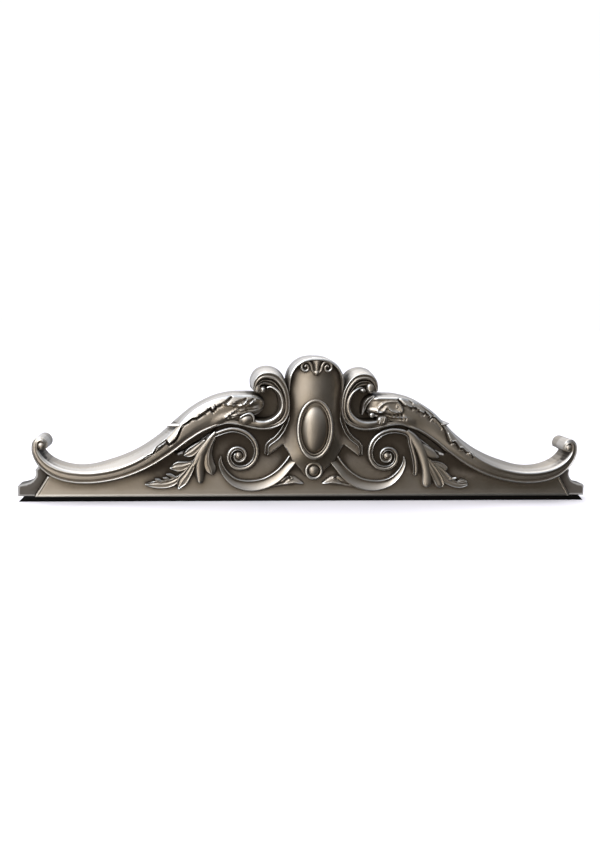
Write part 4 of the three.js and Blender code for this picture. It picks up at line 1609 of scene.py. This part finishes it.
@dataclass
class Volute(Form):
    """One small volute: a ribbon wound to its eye, and run outward into the spray."""

    side: Side
    centre: tuple[float, float] = (77.7, 48.0)
    radius: float = 31.6
    start: float = 46
    outer_turn: float = 210
    outer_shrink: float = 0.25
    inner_turn: float = 510
    inner_shrink: float = 0.135
    step: float = 30

    @property
    def lead(self) -> list[tuple[float, float]]:
        """The ribbon before it winds: it runs into the stem on the left, and is a tongue on the right.

        Returns:
            Points (x, z).
        """
        if self.side is Side.LEFT:
            return [(118, 49), (111.4, 60), (106, 67.2)]
        return [(108.6, 27.6), (108.8, 35), (107.6, 44), (104.8, 54), (102.2, 62)]

    def build(self) -> Build:
        """The ribbon and its eye: the radius shrinks fast over the outer turn, and slower within.

        Returns:
            The piece.
        """
        made = Build(f"volute_{self.side.name.lower()}")
        reached = self.radius * math.exp(-self.outer_shrink * math.radians(self.outer_turn))
        outer = spiral(self.centre, self.radius, self.outer_shrink, self.start, self.outer_turn, self.step)
        onward = self.start + self.outer_turn
        inner = spiral(self.centre, reached, self.inner_shrink, onward, self.inner_turn, self.step)
        path = self.lead + outer + inner[1:]
        lead = [2.6, 2.8, 2.9] if self.side is Side.LEFT else [2.7, 3.0, 3.0, 2.8, 2.7]
        half = lead + [2.8] * 8 + list(np.linspace(2.75, 1.0, 17))
        drop = [1.5, 0.8, 0.3] if self.side is Side.LEFT else [0.6, 0.2, 0, 0, 0]
        drop += [0.0] * 25
        tip = 0.0 if self.side is Side.LEFT else 2.6
        ribbon = Band(path, half, VOLUTE_DEPTH, RIBBON, drop, step=0.5, noses=(tip, 1.0), nose_drop=1.5)
        eye = Dome(self.centre, (4.4, 3.2, 4.4), VOLUTE_DEPTH - 0.2, skirt=12)
        pearl = Dome(self.centre, (1.8, 1.2, 1.5), VOLUTE_DEPTH + 0.3, skirt=2)
        made.add_shells([ribbon.shell(), eye.shell(), pearl.shell()], self.side)
        return made


@dataclass
class Crescent(Form):
    """One crescent under a volute: a dished face in a thin rim, and the folded leaf by the bead ring."""

    side: Side
    path: Points = (
        (19.6, 48), (22.4, 43.8), (29.1, 35.5), (36, 28), (43.2, 22.9), (51.2, 19.3), (62.3, 17.2),
        (73, 18.0), (82.6, 21.7), (90.2, 28.6), (94.8, 36.3), (96.4, 42), (95.8, 47.6),
    )
    half: Sequence[float] = (5.6, 5.6, 5.4, 6.0, 6.2, 6.1, 6.1, 5.5, 4.6, 3.6, 2.6, 1.7, 0.4)
    drop: Sequence[float] = (1.4, 0.6, 0, 0, 0, 0, 0, 0, 0, 0, 0, 0.4, 1)
    leaf_path: Points = ((46, 16.6), (38, 18.8), (30.6, 21.6), (22, 22.6), (15.6, 21.4), (9.6, 19.0))
    leaf_half: Sequence[float] = (1.4, 3.2, 5.0, 5.4, 3.0, 0.4)

    def build(self) -> Build:
        """The crescent and its leaf.

        Returns:
            The piece.
        """
        made = Build(f"crescent_{self.side.name.lower()}")
        fold = Carving(
            strokes=(
                Stroke(((40, 19.4), (34, 22.6), (29, 27.4)), (0.4, 0.6, 0.5), 0.9),
                Stroke(((38, 18.6), (30, 20.6), (24, 24.6), (24.8, 27.4)), (0.5, 0.8, 0.8, 0.4), -1.7),
                Stroke(((33, 21.8), (28.6, 25.6), (25, 27.4), (21.4, 26)), (0.4, 0.7, 0.7, 0.4), 1.2),
                Stroke(((30, 20), (25.4, 23.4), (21, 24.6)), (0.4, 0.6, 0.4), 0.9),
                Stroke(((12, 19.2), (20, 20.4), (30, 19)), (0.4, 0.8, 0.4), 0.6),
            )
        )

        def carve(xz: Array, share: Array, rise: Array) -> Array:
            """The leaf's front with its folds."""
            return rise + fold.height(xz) * smooth(1.0, 0.8, np.abs(share))

        front = CRESCENT_DEPTH + 0.3
        face = Band(self.path, self.half, front, DISHED, self.drop, step=0.5, noses=(0, 0.6), nose_drop=0.8)
        leaf = Band(self.leaf_path, self.leaf_half, SPRAY_DEPTH, FINGER, step=0.5, noses=(0, 0.6))
        made.add_shells([face.shell(), leaf.shell(carve)], self.side)
        return made


@dataclass(frozen=True)
class Leaf:
    """One leaf of a spray."""

    path: Points
    half: Sequence[float]
    rise: float = 0.0
    section: Section = RIMMED
    tip: float = 1.5


LEFT_SPRAY = (
    Leaf(
        ((101.6, 72), (105.4, 67), (110.8, 58.6), (115, 51.2), (119.6, 43), (124, 37)),
        (2.0, 2.8, 3.6, 4.4, 4.0, 1.0), 0.9, FINGER, 0.5,
    ),
    Leaf(
        ((101.8, 68), (106.4, 58), (108.3, 49.5), (107.9, 39.8), (105.6, 33.6), (104.2, 28.4)),
        (1.0, 2.4, 3.2, 4.8, 4.6, 1.4), 0.5, RIDGED, 2.5,
    ),
    Leaf(
        ((114.6, 54), (116.4, 44), (117.2, 33), (116.5, 19.8)),
        (3.2, 4.0, 4.2, 2.8), 0.9, FINGER, 3.5,
    ),
    Leaf(
        ((120.6, 45), (125, 37.8), (129.9, 29.2), (135.4, 21.5), (139.5, 13.8)),
        (2.2, 3.0, 4.4, 5.2, 0.5), 0.5, RIMMED, 0.8,
    ),
    Leaf(
        (
            (126, 36), (131, 31.6), (138, 25.4), (145, 20.9), (152, 18.9), (160.5, 18.8), (167, 18.6),
            (172.6, 18.9),
        ),
        (1.4, 2.0, 2.8, 3.8, 4.1, 4.0, 2.5, 0.4), 0.0, RIMMED, 0.5,
    ),
    Leaf(
        ((122, 42.4), (128, 39.8), (134.5, 37.5), (140.5, 36.6), (148, 35.2)),
        (1.2, 2.6, 4.7, 4.9, 0.5), -0.4, RIMMED, 1.6,
    ),
    Leaf(
        ((112.6, 64), (119.5, 57.5), (126, 52), (130.6, 49.6), (133.6, 48.2)),
        (1.6, 3.6, 4.7, 3.2, 0.5), -0.4, RIMMED, 1.0,
    ),
    Leaf(((142, 25.6), (147.4, 28.2), (151.6, 29.4)), (1.4, 1.7, 0.3), 0.4, RIDGED, 0.6),
    Leaf(((148, 22.4), (151, 24.6), (154.6, 25.4)), (1.4, 1.7, 0.4), 0.5, RIDGED, 0.6),
    Leaf(((156, 20.6), (159, 23), (162.6, 24.6)), (1.3, 1.7, 0.4), 0.5, RIDGED, 0.6),
)
RIGHT_SPRAY = (
    Leaf(
        (
            (98, 75), (103.6, 69.4), (109, 62.6), (114, 54), (118, 43), (120.4, 33), (121.5, 24.4),
            (121.7, 15.4),
        ),
        (2.2, 3.6, 4.4, 4.6, 4.4, 4.2, 4.8, 4.9), 0.9, FINGER, 5.0,
    ),
    Leaf(
        ((119.6, 46), (123.6, 40.6), (128.9, 32.2), (133.9, 23.8), (137.9, 15.4)),
        (1.4, 3.0, 4.3, 5.0, 4.4), 0.5, RIMMED, 4.5,
    ),
    Leaf(
        (
            (121, 46), (126, 41.1), (134.3, 33.4), (141.9, 25.4), (148.8, 20.2), (157.6, 17.6),
            (166.6, 18.8),
        ),
        (1.2, 2.0, 3.8, 5.0, 3.8, 3.0, 1.6), 0.2, RIMMED, 1.6,
    ),
    Leaf(
        ((120.6, 43.6), (125.5, 41.4), (131.5, 39.9), (137.5, 37.3), (143.6, 34.7)),
        (1.0, 2.0, 2.9, 3.6, 2.0), -0.2, RIMMED, 2.0,
    ),
    Leaf(
        ((108, 64), (115, 58), (121.6, 53.2), (127.6, 49.4), (134, 46.9)),
        (2.0, 3.8, 4.8, 4.0, 0.7), -0.2, FINGER, 1.2,
    ),
    Leaf(((145.6, 23.4), (150, 24), (153.9, 25.8)), (1.2, 1.7, 0.6), 0.5, RIDGED, 0.8),
    Leaf(((154.6, 20.4), (160, 22.2), (165.8, 21.2)), (1.3, 2.1, 0.7), 0.5, RIMMED, 1.0),
)


@dataclass
class Spray(Form):
    """The leaves that spring from the foot of a volute."""

    side: Side
    fullness: float = 1.12
    lift: float = 1.4

    def leaf(self, leaf: Leaf) -> Shell:
        """One leaf's surface, a little fuller than it is drawn.

        Args:
            leaf: The leaf.

        Returns:
            The surface.
        """
        half = [h * self.fullness for h in leaf.half]
        front = SPRAY_DEPTH + self.lift + leaf.rise
        band = Band(leaf.path, half, front, leaf.section, step=0.55, noses=(0, leaf.tip), nose_drop=1.5)
        return band.shell()

    def build(self) -> Build:
        """All the leaves of this side's spray.

        Returns:
            The piece.
        """
        made = Build(f"leaf_spray_{self.side.name.lower()}")
        leaves = LEFT_SPRAY if self.side is Side.LEFT else RIGHT_SPRAY
        made.add_shells(map(self.leaf, leaves), self.side)
        return made


@dataclass
class Cartouche(Form):
    """The casting's middle: a barrel-fronted body with arms under a hood, with its crest, boss and bead."""

    outline: Points = (
        (0, 146.5), (8, 146), (14.6, 144), (20.6, 139.6), (24.6, 133), (26.6, 126), (27.6, 116),
        (27.4, 106), (27.6, 96), (28.2, 88), (30.6, 79.4), (34.8, 71.8), (40, 66), (45.4, 62),
        (47.8, 59), (48.2, 55), (47.8, 48.2), (31.8, 60.2), (25.2, 49.4), (22.6, 44), (18.3, 39.6),
        (13.4, 34.2), (9, 28), (0, 26),
    )
    oval_centre: tuple[float, float] = (0.0, 76.6)
    oval_outer: tuple[float, float] = (17.3, 29.2)
    oval_inner: tuple[float, float] = (15.0, 26.0)
    boss: tuple[float, float] = (13.9, 24.7)
    boss_power: float = 0.92
    bead_centre: tuple[float, float] = (0.6, 32.9)
    bead_ring: float = 7.9
    bead_ball: float = 6.4
    bead_depth: float = 26.0
    barrel_reach: float = 29.0
    barrel_rise: float = 7.9
    edge_depth: float = 21.4
    hood_path: Points = (
        (27.2, 112), (27.4, 121), (27.0, 128.2), (24.8, 134.6), (20.4, 140.8), (14, 145.2), (7.9, 147),
        (0, 147.5), (-7.9, 147), (-14, 145.2), (-20.4, 140.8), (-24.8, 134.6), (-27.0, 128.2),
        (-27.4, 121), (-27.2, 112),
    )
    hood_half: Sequence[float] = (
        0.5, 0.9, 1.2, 1.3, 1.4, 1.5, 1.5, 1.5, 1.5, 1.5, 1.4, 1.3, 1.2, 0.9, 0.5,
    )
    hood_drop: Sequence[float] = (6, 2, 0, 0, 0, 0, 0, 0, 0, 0, 0, 0, 0, 2, 6)
    crest_path: Points = ((0, 149.6), (0, 146), (0, 142), (0, 138), (0, 134))
    crest_half: Sequence[float] = (6.4, 5.0, 3.2, 2.4, 2.2)
    curl_path: Points = (
        (2.6, 133.8), (4.6, 137), (5.7, 141.2), (8.2, 144.6), (12, 144.8), (14.9, 142), (15, 137.9),
        (12, 135.6), (9, 137), (8.9, 140), (11, 141.4), (12.2, 139.6),
    )
    curl_half: Sequence[float] = (1.2, 1.6, 1.7, 1.7, 1.7, 1.6, 1.5, 1.4, 1.4, 1.3, 1.2, 1.0)

    def face(self, xz: Array) -> Array:
        """Depth of the body's front: a barrel, near a parabola across, that fades toward the foot.

        Args:
            xz: Points (x, z).

        Returns:
            The depth at each.
        """
        height = smooth(26, 64, xz[:, 1])
        barrel = np.maximum(1 - (xz[:, 0] / self.barrel_reach) ** 2, 0) ** 1.15
        low = self.edge_depth + 1.7 * smooth(30, 52, xz[:, 1])
        return low + self.barrel_rise * barrel * height - smooth(134, 146, xz[:, 1])

    def ring(
        self, centre: tuple[float, float], radii: tuple[float, float], half: float, depth: float
    ) -> Shell:
        """A rounded ring round an ellipse.

        Args:
            centre: Its middle.
            radii: Its radii across and up.
            half: Half its width.
            depth: Depth of its front.

        Returns:
            The ring's surface.
        """
        angle = np.arange(16) / 16 * 2 * math.pi
        path = list(zip(centre[0] + radii[0] * np.cos(angle), centre[1] + radii[1] * np.sin(angle)))
        return Band(path, (half, half), depth, RIM, closed=True, heel=12.0, step=0.6).shell()

    def hood(self) -> Shell:
        """The hood over the barrel's head.

        Returns:
            Its surface.
        """
        return Band(
            self.hood_path,
            self.hood_half,
            CARTOUCHE_DEPTH + 3,
            HOODED,
            drop=self.hood_drop,
            outer_spread=(0.5, 1, 1, 1, 1, 1, 1),
            heel=0.0,
            step=0.6,
            wall=(0.06, 0.15, 0.3, 0.5, 0.7, 1.0),
        ).shell()

    def crest(self) -> list[Shell]:
        """The crest's stem between its curls, and the drop that it ends in.

        Returns:
            Their surfaces, the curls left out.
        """
        stem = Band(
            self.crest_path,
            self.crest_half,
            CREST_DEPTH,
            FINGER,
            drop=(1.5, 0, 0, 0, 0.4),
            heel=0.3,
            step=0.4,
            noses=(0.5, 1.0),
            nose_drop=1.0,
        )
        drop = Dome(self.crest_path[-1], (3.8, 4.5, 3.8), CREST_DEPTH + 1.0, skirt=10)
        return [stem.shell(), drop.shell()]

    def build(self) -> Build:
        """The whole middle.

        Returns:
            The piece.
        """
        made = Build("cartouche")
        whole = [*self.outline, *[(-x, z) for x, z in self.outline[-2:0:-1]]]
        across, up = self.boss
        crown = CARTOUCHE_DEPTH + 4.5
        boss = Dome(self.oval_centre, (across, 7.5, up), crown, around=80, up=24, power=self.boss_power)
        bead = Dome(self.bead_centre, (self.bead_ball, 4, self.bead_ball), self.bead_depth, skirt=8)
        front = CREST_DEPTH - 0.4
        curl = Band(self.curl_path, self.curl_half, front, ARCHED, heel=16, step=0.4, noses=(0, 0.7))
        made.add_plate(Plate(whole, 0.0, bevel=0.7, heel=0.05, pitch=0.9, relief=self.face))
        for shell in (
            self.hood(),
            self.ring(self.oval_centre, self.oval_outer, 1.7, CARTOUCHE_DEPTH + 1.5),
            self.ring(self.oval_centre, self.oval_inner, 0.9, CARTOUCHE_DEPTH),
            boss.shell(),
            self.ring(self.bead_centre, (self.bead_ring, self.bead_ring), 1.4, self.bead_depth),
            bead.shell(),
            *self.crest(),
        ):
            made.add_shell(shell)
        for side in Side:
            made.add_shells([curl.shell()], side)
        return made


@dataclass
class Base(Form):
    """The panel with its slanting ends and lower moulding, the feet, the scrolls' ground and the sole."""

    panel: Points = (
        (282.6, 5.3), (270.4, 25.5), (262, 31), (244, 27), (226, 26), (206, 30), (188, 35), (170, 44),
        (150, 57), (141, 50), (128, 55.4), (116, 64.4), (106, 71.4), (99, 78), (90, 84.6), (78, 86),
        (60, 82), (46, 84), (32, 92), (26, 110),
    )
    ground: Points = (
        (268, 5.3), (268, 37), (244, 30), (226, 29), (206, 33), (188, 38), (170, 48), (150, 62),
        (133, 78), (116, 92), (98, 99), (80, 103), (62, 107), (60, 124), (46, 130), (32, 120),
        (20, 118),
    )
    foot_curve: Points = (
        (298.4, 17.2), (292.6, 18.4), (287.0, 20.4), (283.5, 23.8), (281.8, 28.4), (282.4, 32.2),
    )
    slant: tuple[tuple[float, float], tuple[float, float]] = ((282.6, 5.3), (270.4, 25.5))
    moulding_profile: Points = (
        (12.2, 15.0), (5.3, 15.0), (5.3, 19.8), (5.6, 20.12), (6.4, 20.2), (7.4, 20.15), (8.4, 20.05),
        (9.2, 19.95), (9.8, 19.92), (10.3, 19.95), (10.8, 20.05), (11.2, 20.06), (11.7, 20), (12.2, 19.95),
    )
    moulding_rings: int = 301
    rib_inset: float = 2.0
    rib_half: float = 1.9
    foot_patina_and_shade: float = 0.8

    @staticmethod
    def whole(half: Points) -> list[tuple[float, float]]:
        """A half outline with its mirror image."""
        return [*half, *[(-x, z) for x, z in reversed(half)]]

    @property
    def foot(self) -> list[tuple[float, float]]:
        """Outline of the right foot: a flat toe, a hollow curve and a small horn under the scroll.

        Returns:
            The outline's corners.
        """
        curve = Curve(self.foot_curve).at(np.linspace(0, 1, 16))
        ends = [(280.6, 34.4), (276, 38), (262, 33), (262, 5.3)]
        return [(300, 5.3), (300, 15.4), *[tuple(p) for p in curve], *ends]

    def moulding(self) -> Shell:
        """The panel's lower moulding: a low bead and a fine raised line, run between the slanting ends.

        A ring lies at each share of the way; its points' own x follows the slant as they rise.

        Returns:
            Its surface.
        """
        height, depth = np.array(self.moulding_profile).T
        (x0, z0), (x1, z1) = self.slant
        end = x0 + (height - z0) * (x1 - x0) / (z1 - z0)
        share = np.linspace(-1, 1, self.moulding_rings)[:, None]
        return Shell(np.dstack([share * end, depth + 0 * share, height + 0 * share]))

    def rib(self) -> Shell:
        """The raised rib along a slanting end of the panel.

        Returns:
            Its surface, on the side where x grows outward.
        """
        (x0, z0), (x1, z1) = self.slant
        middle = ((x0 + x1) / 2 - self.rib_inset, (z0 + z1) / 2 + 0.3)
        path = ((x0 - self.rib_inset, z0 + 0.6), middle, (x1 - self.rib_inset, z1))
        return Band(path, (self.rib_half,) * 3, PANEL_DEPTH + 0.35, ARCHED, heel=15, step=0.5).shell()

    def build(self) -> Build:
        """The base, as one piece.

        Returns:
            The piece.
        """
        made = Build("base")
        made.add_plate(Plate(self.whole(self.panel), PANEL_DEPTH, bevel=1.6, heel=0.15))
        made.add_plate(Plate(self.whole(self.ground), POCKET_DEPTH, bevel=0.3, heel=0.2, pitch=3.0))
        # The feet, darkened partly as patina and partly as painted shade
        for foot in (self.foot, [(-x, z) for x, z in self.foot]):
            made.add_plate(Plate(foot, FOOT_DEPTH, bevel=1.4, heel=0.1), painted_shadow=self.foot_patina_and_shade)
        for side in Side:
            made.add_shells([self.rib()], side)
        # The sole: a low plate painted near black, a painted shadow under the casting
        sole = self.whole(((299, 0), (294, SOLE_HEIGHT)))
        made.add_plate(Plate(sole, SOLE_DEPTH, bevel=0.2, pitch=6.0), painted_shadow=1.0)
        made.add_shell(self.moulding())
        return made


def main() -> None:
    """Builds the pieces, works out their patina with its painted shade and highlight, dresses them and sets
    the studio.
    """
    logging.basicConfig(level=logging.INFO, format="%(name)s: %(message)s")
    board = Board(*CAD_BOX)
    studio = Studio()
    studio.camera(board.high.y)
    base = Base()
    forms: list[Form] = [base, Cartouche()]
    for side in Side:
        forms += [kind(side) for kind in (LongScroll, ShortScroll, Volute, Crescent, Spray)]
    builds = [form.build() for form in forms]
    for build in builds:
        board.make(build)
        log.info("%s: %d points, %d faces", build.name, build.count, len(build.item.data.polygons))
    front = FrontMap()
    front.gather(builds)
    front.add_plate(base.whole(base.panel), PANEL_DEPTH)
    front.add_plate(base.whole(base.ground), POCKET_DEPTH)
    for side in Side:
        front.add_plate([(side.value * x, z) for x, z in base.foot], FOOT_DEPTH)
    front.dress(builds)
    metal = AntiqueMetal().material()
    for form, build in zip(forms, builds):
        form.dress(build, metal)
    PaleFloor().make(board.low.z)
    studio.light()


if __name__ == "__main__":
    main()
